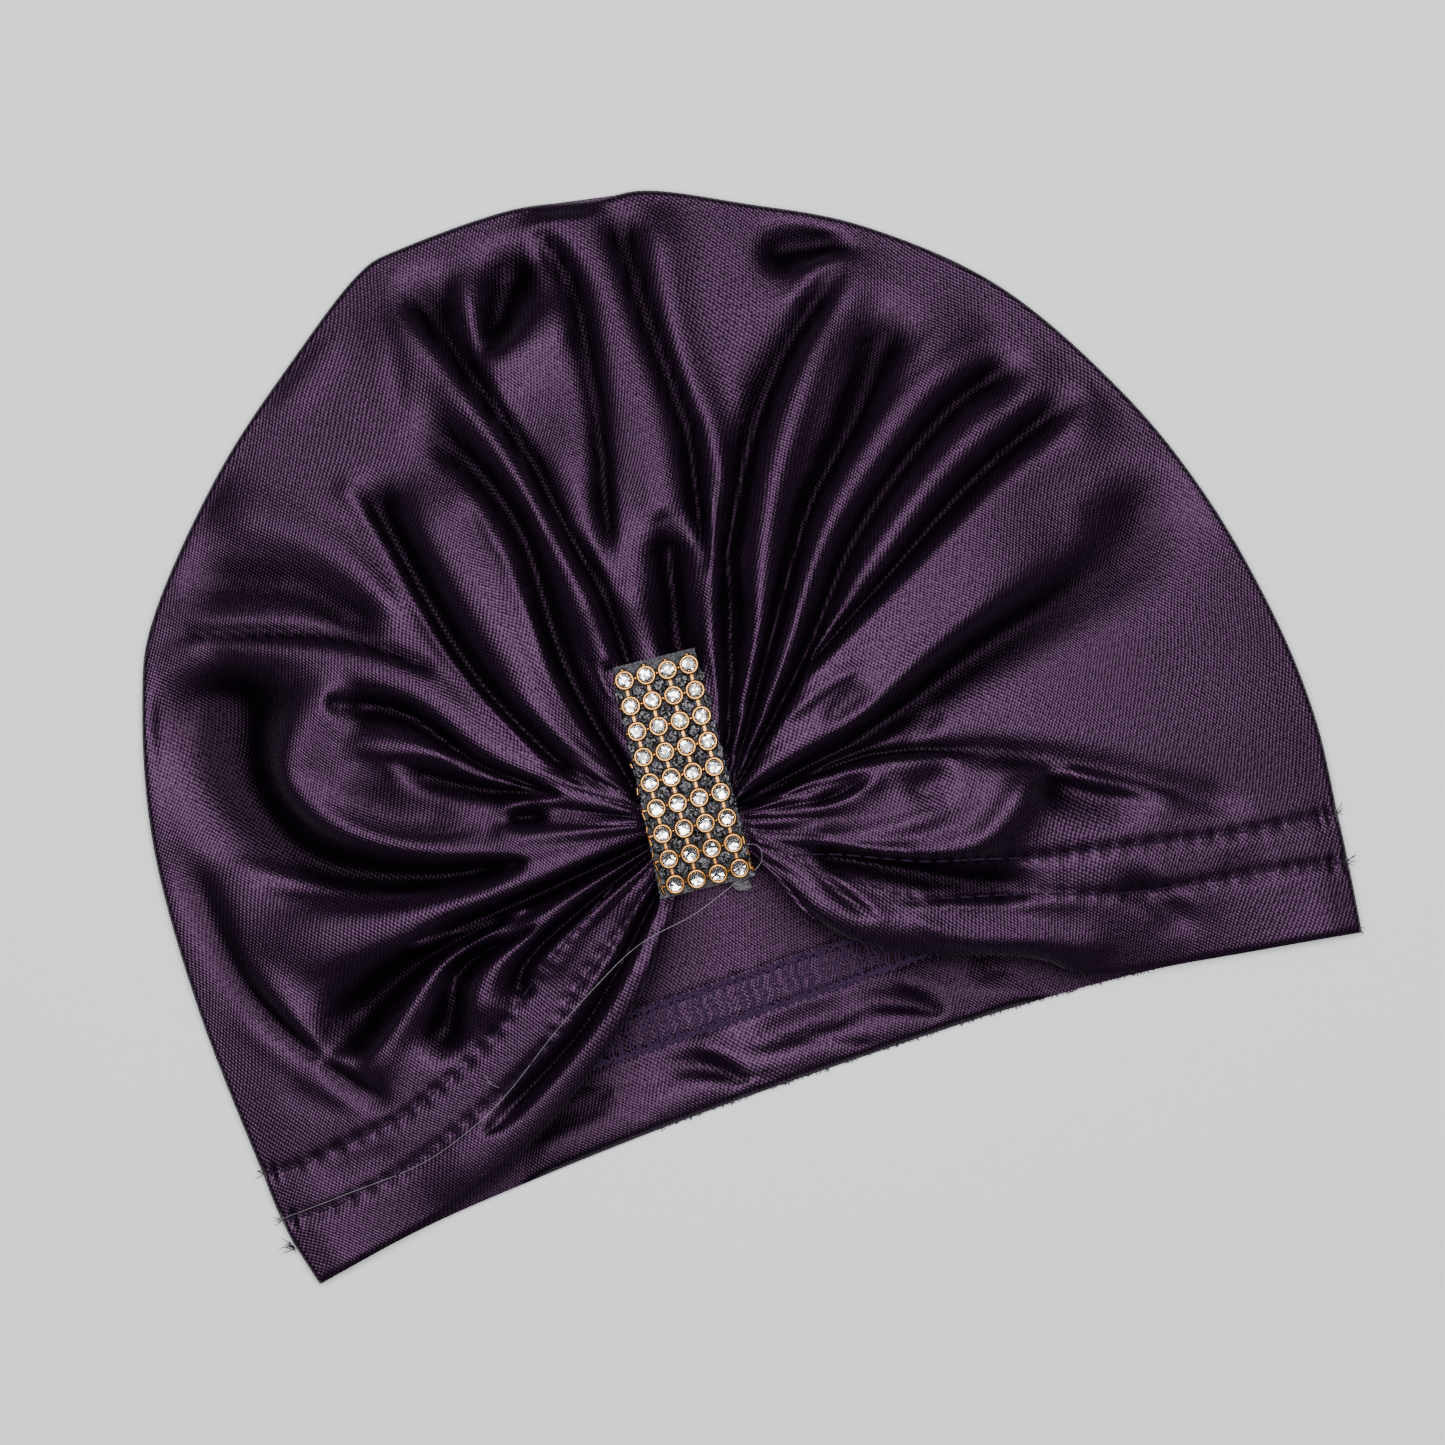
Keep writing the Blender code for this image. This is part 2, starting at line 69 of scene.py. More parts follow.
# Form of the cloth without its folds
GATHER = (-9.1, 57.8)
GATHER_RADIUS = 1.5
GATHER_BEARINGS = (234.0, -54.0)
GATHER_TOP = 12.4
CLOTH_DROP = 0.7
RIM_TOP = 2.3
EDGE_REACH = 0.7
EDGE_RISE = 0.6
PUFF_TOP = 13.0
PUFF_REACH = 82.0
PUFF_CURVE = 1.35
HEM_CORNER_TOP = 3.8
HEM_CLIMB = 100.0
HEM_REACH = 42.0
HEM_CURVE = 2.2
HEM_ROUND = 1.6
HEM_DIP = 0.7
FRONT_FLOOR = 1.15
FLOOR_SOFT = 0.5

# The back panel's upper side, and the mouth where the front leaves it free to wrinkle
BACK_BOTTOM = 0.05
BACK_TOP = 1.0
BACK_LOWEST = 0.5
BACK_ROOM = (0.5, 2.2)
BACK_HEM_RISE = 0.5
BACK_HEM_STEP = 0.8
BACK_HEM_ROUND = 1.3
BACK_HEM_DIP = 0.8
PUCKER = 0.16
PUCKER_FADE = 2.0
CHAIN_WIDTH = 0.8
CHAIN_DIP = 0.22
MOUTH_MIDDLE = (-8, 40)
MOUTH_HALF = 26
MOUTH_SLOPE = 0.6
MOUTH_FADE = 6

# Lattices of points of the panels, and how they crowd where the cloth turns most
FRONT_COLUMNS = 420
COLUMN_CROWD = 0.55
FRONT_ROWS = 96
ROW_CROWD = 1.12
RIM_ROWS = 12
RIM_SHARE = 0.035
RIM_CROWD = 1.6
BOW_SHARE = 0.24
BACK_COLUMNS = 230
BACK_COLUMN_CROWD = 0.5
BACK_NEAR = 60.0
BACK_NEAR_ROWS = 110
BACK_CREST = 173.2
BACK_FAR_ROWS = 24
BACK_FAR_CROWD = 0.8

# How the folds of the tables below add up
FOLD_DEPTH = 0.72
FINE_DEPTH = 0.7
FOLD_REACH = 4.0
FOLD_PULL = 2.2
FOLD_TAPER = 0.8
FOOT_BASE = 0.4
CREST_ROUND = 0.6
VALLEY_ROUND = 0.1
CREST_TOP = 2.6
VALLEY_CRISP = 0.85
VALLEY_POWER = 1.35
VALLEY_SINK = 0.15
REST_WEIGHT = 0.25
FADE_START = 4.0
FADE_WIDE = 1.6
FADE_SHARE = 0.34
RIM_FADE = 3.6
FOLD_NEAR = (22.0, 1.15)
FOLD_FAR = (85.0, 0.7)
TUCK_WITHIN = 7.0
TUCK = 8.0

# Painted shade on the cloth: each reach of a hollow between folds, with the slope at which
# the painted shade is darkest, and then the painted shadow of the front hem on the back panel
HOLLOW_REACHES = ((1.5, 0.60), (3.2, 0.55), (7.0, 0.36), (12.0, 0.36))
HOLLOW_SHADE = 0.8
BACK_HOLLOW = 0.85
CONTACT_REACH = 8.5
CONTACT_SHADE = 0.8

# Knit and satin; the cloth's UV map is its plan in decimetres
PLAN_SCALE = 0.01
KNIT_WALE = 0.70
KNIT_COURSE = 1.0
KNIT_SLANT = 0.22
KNIT_SPOTS = 0.38
KNIT_GRAIN = 0.7
KNIT_WANDER = (2.2, 0.14)
KNIT_UNEVEN = (120, 0.0035)
SATIN = (0.0050, 0.0020, 0.0058, 1)
SATIN_SHINE = (0.270, 0.136, 0.278, 1)
INSIDE_SHINE = (0.290, 0.145, 0.298, 1)
SATIN_ROUGHNESS = 0.34
SATIN_GLOSS = 0.9
SATIN_YARN = (0.4, 1.4)
SATIN_GLINT = (0.0, 2.1)
SATIN_BUMP = (0.5, 0.00015)

# Rhinestone strip
STRIP_MIDDLE = (-7.95, 66.7)
STRIP_TURN = math.radians(4.6)
STRIP_BEND = 140.0
STRIP_BEND_TOP = 4.0
STRIP_MARGIN = 0.3
STRIP_FALL = 14.0
STRIP_SINK = 0.5
STRIP_SKIRT = (1.2, 0.05, 0.35)
BACKING_WIDTH = 17.0
BACKING_LENGTH = 42.4
BACKING_SHIFT = 0.3
BACKING_LIFT = (0.25, 1.25)
BACKING_ENDS = (-21, 21)
BACKING_SIDES = ((-9.2, -7.35), (8.35, 7.65))
BACKING_ROWS = 120
BACKING_COLUMNS = 48
PITCH_ALONG = 4.65
PITCH_ACROSS = 3.98
CUP_ROWS = 9
CUP_COLUMNS = 4
CUP_SIDES = 28

# The turned shapes of the strip: each row is a radius and a height over the cloth
CUP_PROFILE = (
    (0, 1.6), (1.70, 1.6), (1.81, 1.66), (1.86, 1.8), (1.86, 2.93), (1.84, 3.03), (1.78, 3.12),
    (1.69, 3.19), (1.58, 3.23), (1.47, 3.23), (1.36, 3.19), (1.275, 3.12), (1.22, 3.05),
    (1.20, 2.98), (1.23, 2.94), (1.30, 2.9), (1.30, 2.1), (0, 2.1),
)
BLOB_PROFILE = ((0, 1.2), (1.34, 1.2), (1.26, 1.66), (0.95, 1.98), (0.5, 2.14), (0, 2.2))
BLOB_SIDES = 11
BLOB_ROUGHNESS = 0.16
BLOB_MARGIN = 0.9
BLOB_NARROW = 0.62

# A brilliant cut stone's clear crown: radius and height of its table, star and girdle, and
# of the silvered facets under it
STONE_SIDES = 8
STONE_TABLE = (0.70, 3.40)
STONE_STAR = (0.97, 3.25)
STONE_GIRDLE = (1.285, 2.98, 2.9)
FOIL_MIDDLE = 2.62
FOIL_INNER = (0.62, 2.72)
FOIL_OUTER = (1.28, 2.79)
FOIL_BASE = 2.2
FOIL_JITTER = 0.105

# Bars of the gold setting: lowest and highest corner, counted from a cup's middle. The link
# bars join the rows and the side bar the columns; the lugs are cut ends at the edges.
LINK_BARS = (
    ((-0.34, -2.95, 1.70), (-0.12, -1.40, 2.15)),
    ((0.12, -2.95, 1.70), (0.34, -1.40, 2.15)),
    ((-0.24, -2.92, 1.40), (0.24, -1.45, 1.60)),
)
SIDE_BAR = ((1.6, -0.36, 1.75), (2.4, 0.36, 2.45))
TOP_LUG = ((-0.42, 1.6, 1.72), (0.42, 2.25, 2.3))
LEFT_LUG = ((-2.15, -0.34, 1.72), (-1.6, 0.3, 2.3))
LEFT_LONG_LUG = ((-2.75, -0.34, 1.72), (-1.6, 0.3, 2.3))
LEFT_LONG_FROM = 6
RIGHT_LUG = ((1.6, -0.9, 1.72), (2.3, 0.9, 2.35))
BAR_EDGE = 0.42
CUT_LIFT = (1.7, 2.35)
SHARP_FROM = math.radians(40)

# The folds of the front panel. Each row has the fold's name, its height (a valley's is
# negative), its half width at the gather's end and at the far end, the shape of its foot
# (1 is a crease, 2 runs out softly), and its path from the gather outwards.
FOLDS = (
    # name, height, inner, outer, foot, path
    ("crown_left_ridge", 3.2, 1.3, 4.2, 1.3, ((-14.5, 90), (-18, 122), (-23, 145), (-35, 168))),
    ("crown_left_dent", -4.2, 1.2, 4.6, 1.3, ((-12, 103), (-15.5, 128), (-22, 150), (-27, 171))),
    ("crown_thin_ridge", 2.2, 1.0, 2.4, 1.3, ((-11.5, 112), (-16, 132), (-18.5, 150), (-17, 168))),
    ("crown_bowl", -5.0, 2.4, 4.4, 1.5, ((-18, 150), (-11.5, 158), (-5, 170))),
    ("crown_crossing", 4.2, 3.0, 4.2, 1.6, ((-24, 145.5), (-10, 149.5), (5, 154.5))),
    ("crown_swell", 1.8, 2.6, 6.0, 1.8, ((-9.5, 104), (-9.5, 120), (-9, 138))),
    ("crown_crease", -3.0, 1.2, 2.4, 1.2, ((-8, 106), (-3, 128), (0.5, 148), (1, 158), (-2, 169))),
    ("crown_roll", 4.4, 2.6, 7.5, 1.7,
     ((2, 106), (5, 122), (6.5, 144), (7, 158), (2, 168), (-6, 171.5))),
    ("crown_groove", -2.6, 1.4, 2.6, 1.4, ((8, 101), (12.5, 126), (12.3, 150), (13, 169))),
    ("crown_right_ridge", 3.0, 1.6, 3.0, 1.5, ((12, 97), (16.5, 120), (16, 142), (20.5, 168))),
    ("crown_right_dent", -4.6, 3.4, 2.0, 1.5, ((33, 151.5), (43, 150.5), (54, 146.5))),
    ("pit_over_strip", -3.6, 1.8, 3.4, 1.5, ((-1, 89), (2, 103), (3.5, 113))),
    ("ridge_by_pit", 2.6, 0.9, 2.4, 1.4, ((1.5, 76), (5, 89), (11, 105), (15, 119))),
    ("right_0_valley", -3.2, 0.9, 3.6, 1.4, ((2, 70), (9, 88), (14, 105), (30, 129), (50, 146))),
    ("right_1_ridge", 3.8, 1.0, 5.2, 1.5, ((2, 65.5), (15, 88), (24, 112), (38, 132), (55, 150))),
    ("right_1_dark", -4.2, 0.9, 4.8, 1.5, ((2, 65), (20, 92), (31, 107), (45, 121), (56, 138))),
    ("right_2_ridge", 3.8, 1.0, 5.6, 1.5, ((1, 63.5), (14, 78), (30, 102.5), (50, 118), (73, 125))),
    ("right_2_valley", -3.6, 0.9, 3.4, 1.4, ((2, 62.7), (20, 80), (36, 98), (57, 113), (76, 119))),
    ("right_3_ridge", 3.6, 1.4, 4.6, 1.5, ((14, 75), (33, 86.5), (55, 102.5), (83, 115))),
    ("right_3_dark", -3.8, 1.4, 5.0, 1.4, ((18, 77), (38, 88.5), (60, 101), (83, 110))),
    ("right_4_roll", 3.6, 0.9, 5.0, 1.5, ((1, 61.7), (20, 76), (45, 88.5), (70, 101), (88, 107))),
    ("right_broad_roll", 4.4, 1.2, 9.0, 1.6, ((3, 60.5), (28, 68.5), (52, 81), (76, 90))),
    ("right_hook_valley", -4.8, 1.2, 7.5, 1.6,
     ((7, 60), (31, 64.5), (50, 70.5), (70, 75.5), (84, 82), (89, 97))),
    ("hem_fold_edge", -2.2, 1.2, 2.6, 1.1, ((5, 58.5), (30, 58.3), (60, 46), (90, 26))),
    ("hem_fold_ridge", 2.2, 1.0, 2.6, 1.4, ((4, 56.5), (20, 59), (45, 53))),
    ("hem_right_band", -3.4, 1.4, 3.6, 1.4, ((8, 46), (20, 40), (34, 32.5), (50, 26))),
    ("hem_right_peak", 2.6, 1.2, 3.0, 1.4, ((8, 50), (24, 41), (40, 38), (54.5, 48))),
    ("hem_right_pit", -2.8, 3.0, 4.0, 1.6, ((52, 45), (60, 40), (75, 33))),
    ("hem_right_ridge", 2.0, 2.0, 2.5, 1.5, ((56, 46.5), (64, 40.5), (76, 31))),
    ("hem_right_roll", 2.6, 1.6, 3.0, 1.4, ((1, 49), (9, 36), (22, 26.5), (58, 11))),
    ("hem_right_dimple", -2.0, 2.4, 2.8, 1.6, ((60, 25), (66, 17), (71, 7))),
    ("left_crease", -1.6, 0.9, 1.8, 1.1, ((-43, 98), (-60, 110.5), (-92, 121.5))),
    ("left_1_ridge", 3.4, 0.9, 5.0, 1.5, ((-18.5, 63), (-36, 77), (-51, 98), (-70, 112.5), (-92, 119))),
    ("left_0_valley", -3.4, 0.9, 3.4, 1.4, ((-18, 71), (-22, 92), (-22, 120), (-34, 147))),
    ("left_loop_ridge", 2.4, 0.8, 2.6, 1.4, ((-17.5, 66), (-24, 85), (-26, 110), (-31, 134))),
    ("left_2_roll", 3.8, 0.8, 5.0, 1.6, ((-17.5, 64.5), (-27, 86), (-34, 113), (-39, 136))),
    ("left_2_valley", -3.8, 0.9, 4.6, 1.4, ((-26, 71), (-37, 93), (-43, 118), (-46, 138))),
    ("left_2_edge", 1.6, 0.8, 2.0, 1.2, ((-30, 74), (-41, 100), (-46, 124), (-50, 138))),
    ("left_shoulder", 3.0, 2.4, 4.0, 1.8, ((-46, 108), (-57, 127), (-76, 142))),
    ("left_shoulder_foot", -3.0, 2.4, 4.5, 1.8, ((-50, 106), (-65, 122), (-86, 130))),
    ("left_big_dent", -8.2, 1.8, 10.5, 1.6,
     ((-40, 60.6), (-60, 64.5), (-77, 74), (-84, 90), (-83, 105), (-82, 117))),
    ("left_big_roll", 4.4, 1.0, 5.0, 1.6,
     ((-18.5, 60.3), (-45, 64), (-66, 74), (-76, 88), (-68, 99), (-58, 99))),
    ("left_roll_slope", -2.2, 2.0, 6.0, 1.8, ((-46, 70), (-60, 78), (-66, 88))),
    ("left_roll_wedge", -2.8, 1.0, 2.4, 1.4, ((-31, 70.5), (-44, 76), (-58, 85))),
    ("left_3_valley", -3.4, 1.0, 3.0, 1.4, ((-30, 70), (-43, 81), (-52, 93), (-65, 99.5))),
    ("left_3_ridge", 2.4, 1.0, 2.4, 1.4, ((-34, 73), (-48, 84), (-66, 92))),
    ("left_main_ridge", 4.0, 0.9, 5.5, 1.5, ((-18, 58.2), (-40, 56.8), (-66, 57), (-96, 62))),
    ("left_main_valley", -3.2, 0.9, 3.0, 1.4, ((-18, 56.8), (-44, 54), (-64, 52.5))),
    ("left_dark_dent", -6.4, 1.4, 6.6, 1.6, ((-42, 52.8), (-60, 50.5), (-74, 45.5), (-89, 37))),
    ("left_4_ridge", 3.2, 1.0, 3.4, 1.4, ((-44, 52), (-60, 48), (-72, 39), (-82, 31))),
    ("left_4_valley", -3.8, 1.6, 3.6, 1.5, ((-42, 49), (-57, 46), (-62, 38), (-70, 31))),
    ("left_5_ridge", 3.2, 0.8, 3.0, 1.4, ((-17, 56), (-38, 50.5), (-53, 43.5), (-58, 33))),
    ("left_6_valley", -2.4, 0.7, 1.8, 1.4, ((-17.5, 55), (-34, 49), (-46, 43), (-50, 36))),
    ("left_6_ridge", 2.4, 0.7, 2.2, 1.4, ((-17.5, 54), (-34, 47), (-46, 39.5))),
    ("left_rim_crease", -2.6, 1.6, 2.8, 1.3, ((-76, 25), (-87, 39), (-96, 58), (-98, 84))),
    ("left_rim_ridge_in", 2.0, 2.0, 3.0, 1.4, ((-80, 33), (-88, 45), (-93, 62))),
    ("hem_left_roll", 3.4, 2.2, 4.6, 1.6, ((-16, 49), (-30, 32.5), (-45, 21.5), (-60, 13), (-78, 7))),
    ("hem_left_valley", -2.2, 1.0, 2.0, 1.4, ((-19, 48), (-39, 29.5), (-62, 16.5))),
)

# Smaller folds, creases and dimples, with the same columns
FINE_FOLDS = (
    # name, height, inner, outer, foot, path
    ("narrow_crease", -1.8, 1.0, 1.4, 1.1, ((9, 104), (12, 120), (15, 130))),
    ("pit_left_crease", -1.6, 1.0, 1.6, 1.3, ((-10, 107), (-7.5, 116), (-5, 126))),
    ("strip_top_valley", -2.2, 1.0, 1.6, 1.3, ((-11, 88), (-11, 100), (-12, 116))),
    ("strip_top_ridge", 1.6, 1.6, 2.0, 1.5, ((-6, 89), (-6.5, 96), (-6, 106))),
    ("strip_top_ridge_2", 1.8, 1.2, 1.8, 1.4, ((-1, 88), (3, 95), (6, 106))),
    ("corner_pit", -1.8, 1.6, 1.8, 1.6, ((8, 88), (10, 93), (12, 99))),
    ("crown_left_inner", 1.6, 1.0, 1.8, 1.3, ((-14.5, 90), (-15, 105), (-17, 118))),
    ("right_dent_pleat", 1.8, 0.8, 1.0, 1.2, ((35, 140), (43, 145), (52, 149.5))),
    ("right_1_line", 1.2, 0.7, 1.6, 1.2, ((2, 66.5), (13, 88), (22, 106), (46, 141))),
    ("right_2_line", 1.4, 0.8, 1.8, 1.2, ((3, 64.5), (19, 84), (33, 101), (60, 119))),
    ("right_thin_crease", -1.4, 0.8, 1.2, 1.1, ((30, 106), (45, 117), (60, 124.5), (75, 128.5))),
    ("right_3_line", 1.4, 0.9, 2.0, 1.3, ((30, 88), (45, 100), (70, 115))),
    ("broad_edge", 1.6, 0.9, 1.8, 1.3, ((5, 60.5), (25, 65), (40, 73), (60, 80))),
    ("loop_ridge_1", 1.2, 0.8, 1.2, 1.3, ((12, 69.5), (22, 73.5), (31, 75.5))),
    ("loop_pit", -1.8, 1.4, 2.0, 1.5, ((18, 66.5), (24, 69.5), (30, 72))),
    ("under_roll_valley", -2.0, 0.9, 2.0, 1.3, ((4, 59), (16, 60.5), (32, 61))),
    ("roll_foot_valley", -1.6, 1.2, 2.0, 1.5, ((30, 58.5), (36, 61), (41, 64))),
    ("bundle_ridge_1", 1.4, 0.7, 1.2, 1.3, ((1, 56), (10, 58), (18, 60))),
    ("bundle_ridge_2", 1.6, 0.8, 1.6, 1.3, ((0, 54), (11, 53), (22, 53.5), (27, 57))),
    ("bundle_pit", -1.8, 1.2, 1.8, 1.5, ((12, 54.5), (18, 54.5), (24, 56))),
    ("bundle_ridge_3", 1.4, 0.8, 1.4, 1.3, ((0, 51.5), (12, 48), (24, 45.5), (38, 45))),
    ("side_dark", -2.0, 2.0, 3.0, 1.6, ((28, 49), (34, 51), (40, 50))),
    ("peak_left", 1.8, 1.2, 2.0, 1.3, ((37, 36.5), (45, 41), (54, 48))),
    ("peak_dark", -2.0, 2.0, 3.0, 1.6, ((50, 40), (55, 43.5), (58, 47))),
    ("band_ridge", 1.4, 0.8, 1.4, 1.2, ((10, 49.5), (20, 43), (30, 38))),
    ("between_rows_ridge", 1.2, 0.8, 1.4, 1.2, ((22, 31), (35, 27.5), (58, 21))),
    ("edge_ridge", 1.2, 0.9, 1.6, 1.2, ((22, 31), (30, 22.5), (45, 17), (58, 11))),
    ("leg_ridge", 1.0, 0.7, 1.0, 1.2, ((11, 42), (16, 35), (19, 28))),
    ("leg_valley", -1.4, 0.8, 1.2, 1.3, ((8, 44), (13, 36), (17, 30))),
    ("dimple_ridge_1", 1.2, 1.2, 1.5, 1.4, ((60, 20), (66, 13), (69, 7))),
    ("dimple_ridge_2", 1.2, 1.2, 1.5, 1.4, ((66, 27), (71, 18), (76, 10))),
    ("hem_dark_right", -1.2, 2.0, 3.0, 1.8, ((78, 21), (84, 18), (90, 17))),
    ("left_line_1", 1.2, 0.7, 1.4, 1.3, ((-18, 65), (-26, 79), (-35, 95))),
    ("left_line_2", 1.2, 0.7, 1.4, 1.3, ((-19, 63.5), (-31, 77), (-41, 96))),
    ("left_valley_thin", -1.6, 0.8, 1.4, 1.2, ((-26, 109), (-28.5, 118), (-30, 129))),
    ("left_ridge_thin", 1.2, 0.8, 1.3, 1.2, ((-23, 109), (-25, 125), (-30, 136))),
    ("left_ridge_long", 1.8, 1.0, 2.2, 1.4, ((-16, 107), (-20, 126), (-28, 151))),
    ("left_rim_ridge", 1.0, 2.0, 2.5, 1.8, ((-40, 163), (-50, 156.5), (-60, 151))),
    ("crown_left_crease", -1.4, 0.8, 1.6, 1.2, ((-36, 142), (-33, 156), (-33, 169))),
    ("crown_top_nook", -1.6, 1.2, 1.4, 1.4, ((-22, 156), (-20.5, 163), (-19, 169))),
    ("hook_upper", 1.8, 0.9, 1.3, 1.3, ((-30, 68), (-36, 71.3), (-43, 71))),
    ("hook_lower", 1.4, 0.8, 1.2, 1.3, ((-20, 61), (-31, 63.8), (-40, 66), (-43.5, 69))),
    ("hook_pit", -2.2, 1.2, 1.2, 1.5, ((-33, 67), (-37, 68.3), (-41, 69))),
    ("left_thin_ridge", 1.4, 0.8, 1.4, 1.2, ((-55, 61), (-70, 65), (-94, 79))),
    ("left_thin_valley", -0.8, 0.9, 1.3, 1.3, ((-60, 60), (-73, 64.5), (-88, 72.5))),
    ("left_dark_core_2", -1.8, 2.0, 3.0, 1.5, ((-50, 47), (-56, 46), (-60, 42))),
    ("rim_ridge_outer", 1.2, 1.2, 1.8, 1.4, ((-82, 26), (-92, 40), (-100, 53))),
    ("rim_valley", -1.2, 1.5, 2.5, 1.6, ((-84, 26), (-91, 32), (-96, 37))),
    ("hem_between_rows", -1.4, 2.0, 3.0, 1.8, ((-76, 18), (-86, 18.5), (-97, 18))),
    ("hem_second_roll", 1.6, 1.0, 1.8, 1.3, ((-20, 49), (-31, 39), (-50, 25))),
)

# Wrinkles of the back panel where the mouth shows it, with the same columns
BACK_FOLDS = (
    # name, height, inner, outer, foot, path
    ("hem_ridge", 1.9, 2.8, 2.8, 1.7, ((-75, 7.2), (-30, 11), (0, 11.8), (30, 11), (62, 8))),
    ("panel_swell", 1.4, 14.0, 14.0, 2.0, ((-9, 20), (-9, 44), (-8, 62), (-8, 80))),
    ("slant_left", 1.7, 1.5, 1.8, 1.5, ((-23, 21), (-16.5, 15.5), (-10, 8.5))),
    ("slant_right", 1.7, 1.5, 1.8, 1.5, ((15, 21), (22, 15.5), (29.5, 9))),
    ("slant_small_1", 0.8, 1.0, 1.2, 1.4, ((-3, 15), (3, 11.5), (9, 8.8))),
    ("slant_small_2", 0.8, 1.0, 1.2, 1.4, ((33, 13), (38, 11), (44, 8))),
    ("slant_far_left", 1.4, 1.4, 1.6, 1.5, ((-43, 19), (-38, 14.5), (-34, 9.5))),
    ("slant_left_foot", -1.0, 1.4, 2.0, 1.5, ((-29, 19), (-21, 15), (-14.5, 10))),
    ("slant_right_foot", -1.0, 1.4, 2.0, 1.5, ((8, 18.5), (16, 15), (23, 10.5))),
    ("hem_foot_left", -1.2, 2.0, 2.4, 1.5, ((-60, 13.5), (-48, 15.5), (-38, 17))),
    ("hem_foot_middle", -1.0, 2.4, 2.4, 1.5, ((-12, 16.8), (-2, 17), (10, 17))),
    ("hem_foot_right", -1.4, 2.4, 2.4, 1.5, ((30, 16.5), (38, 15.5), (50, 13))),
)

# How much of its thickness a thread keeps at its ends
THREAD_TAPER = 0.55

# Rows of topstitching on the front, from the side seam to the strip
STITCH_ROWS = (
    ((-103.4, 22), (-97, 21.3), (-85, 22.7), (-75, 24.2), (-65, 28), (-55, 32.8), (-47, 38.5),
     (-40, 43), (-33, 47.5), (-26, 51.5)),
    ((-103, 13), (-94, 12.3), (-80, 14.3), (-70, 17.5), (-57, 22.5), (-47, 28), (-38, 36.3),
     (-27, 43.5), (-19, 51.5)),
    ((102.6, 22), (95, 22.8), (80, 25.2), (65, 28.5), (50, 31.5), (38, 35), (28, 38),
     (14, 44), (6, 46.5)),
    ((101.6, 13), (90, 15.5), (75, 18), (60, 21), (45, 26), (31, 30), (24, 32.5), (15, 39)),
)
STITCH_LENGTH = 2.7
STITCH_GAP = 0.45
STITCH_RADIUS = 0.2
STITCH_POINTS = 9
STITCH_ARCH = 0.34
STITCH_SINK = 0.16
SEAM_DIP = 0.42
SEAM_WIDTH = 1.35
SEAM_PUCKER = 0.75
SEAM_FADE = 0.15

# The looper threads inside the back hem, over its raw edge
LOOPER_SPAN = (-40.0, 26.0)
LOOPER_LOW = 21.2
LOOPER_HIGH = 28.2
LOOPER_PITCH = 4.6
LOOPER_STEP = 0.16
LOOPER_STARTS = (0.0, 0.34)
LOOPER_RADIUS = 0.23
LOOPER_LIFT = (0.26, 0.10)
CHAIN_PITCH = 2.75
CHAIN_HALF = 0.75
CHAIN_LIFT = (0.30, 0.16)

# Bits of cut chain at the strip's edges
CUT_BITS = (
    # along, across, width, length, turn
    (3.6, -8.45, 0.45, 1.1, 14), (-1.0, -8.5, 0.5, 1.5, -8), (-5.6, -8.5, 0.42, 1.6, 10),
    (-8.0, -8.55, 0.4, 1.3, -16), (-10.4, -8.45, 0.5, 1.4, 6), (-12.6, -8.6, 0.4, 1.2, -12),
    (-15.0, -8.5, 0.5, 1.5, 9), (-17.2, -8.6, 0.42, 1.3, -6), (-19.3, -8.45, 0.55, 1.6, 12),
    (-16.3, 8.2, 0.4, 1.2, 8), (-19.4, 8.25, 0.45, 1.0, -10),
)

# Colours and roughness of the strip and the threads, and the inputs of the plain materials
GOLD = ((0.40, 0.205, 0.068, 1), 0.28)
SILVER = ((0.80, 0.79, 0.79, 1), 0.12)
WEAR_SCALE = 900
PURPLE_THREAD = ((0.016, 0.007, 0.022, 1), 0.7)
LOOPER_THREAD = ((0.034, 0.016, 0.047, 1), 0.6)
GREY_THREAD = ((0.16, 0.15, 0.17, 1), 0.6)
THREAD_SHINE = (0.35, 0.22, 0.42, 1)
TWIST_SCALE = 900
GLASS = {
    "Base Color": (0.98, 0.98, 1.0, 1), "Roughness": 0.01, "IOR": 1.22,
    "Transmission Weight": 1, "Coat Weight": 0.6, "Coat Roughness": 0.02,
}
NYLON = {"Base Color": (0.25, 0.23, 0.27, 1), "Roughness": 0.25, "Transmission Weight": 0.35}
PALE_FLOOR = {"Base Color": (0.72, 0.73, 0.74, 1), "Roughness": 0.9}

# Grains: darkest and lightest colour, roughness, and the scales of the grains and patches
FELT = ((0.018, 0.018, 0.023, 1), (0.165, 0.162, 0.195, 1), 0.8, 4200, 150)
CRYSTAL = ((0.002, 0.002, 0.003, 1), (0.205, 0.20, 0.24, 1), 0.25, 2800, 110)
GRAIN_RANGE = (0.35, 0.95)
GRAIN_PATCH = 0.3
GRAIN_BUMP = (0.8, 0.00012)

DICE = random.Random(7)

# Loose clear thread from the strip's corner across the mouth to the left hem
CLEAR_THREAD = (
    (-1, 51), (0.6, 50.4), (1.2, 49), (0.4, 47), (-2, 45.7), (-5, 45), (-14, 42), (-25, 40),
    (-35, 35.3), (-45, 29.5), (-55, 22.8), (-63, 18.6), (-75, 14.8), (-90, 13.8), (-103, 13.2),
)
CLEAR_TAIL = ((-57.4, 23.4), (-58.6, 24.6), (-59.2, 26.2))
CLEAR_LIFTS = (0.14, 0.3)
CLEAR_RADIUS = 0.058
CLEAR_LEAST = 0.12
CLEAR_EVEN = 4
CLEAR_OFF_STRIP = 0.6
MOUTH_LEFT = -20
MOUTH_RIGHT = 4
MOUTH_TOP = 47

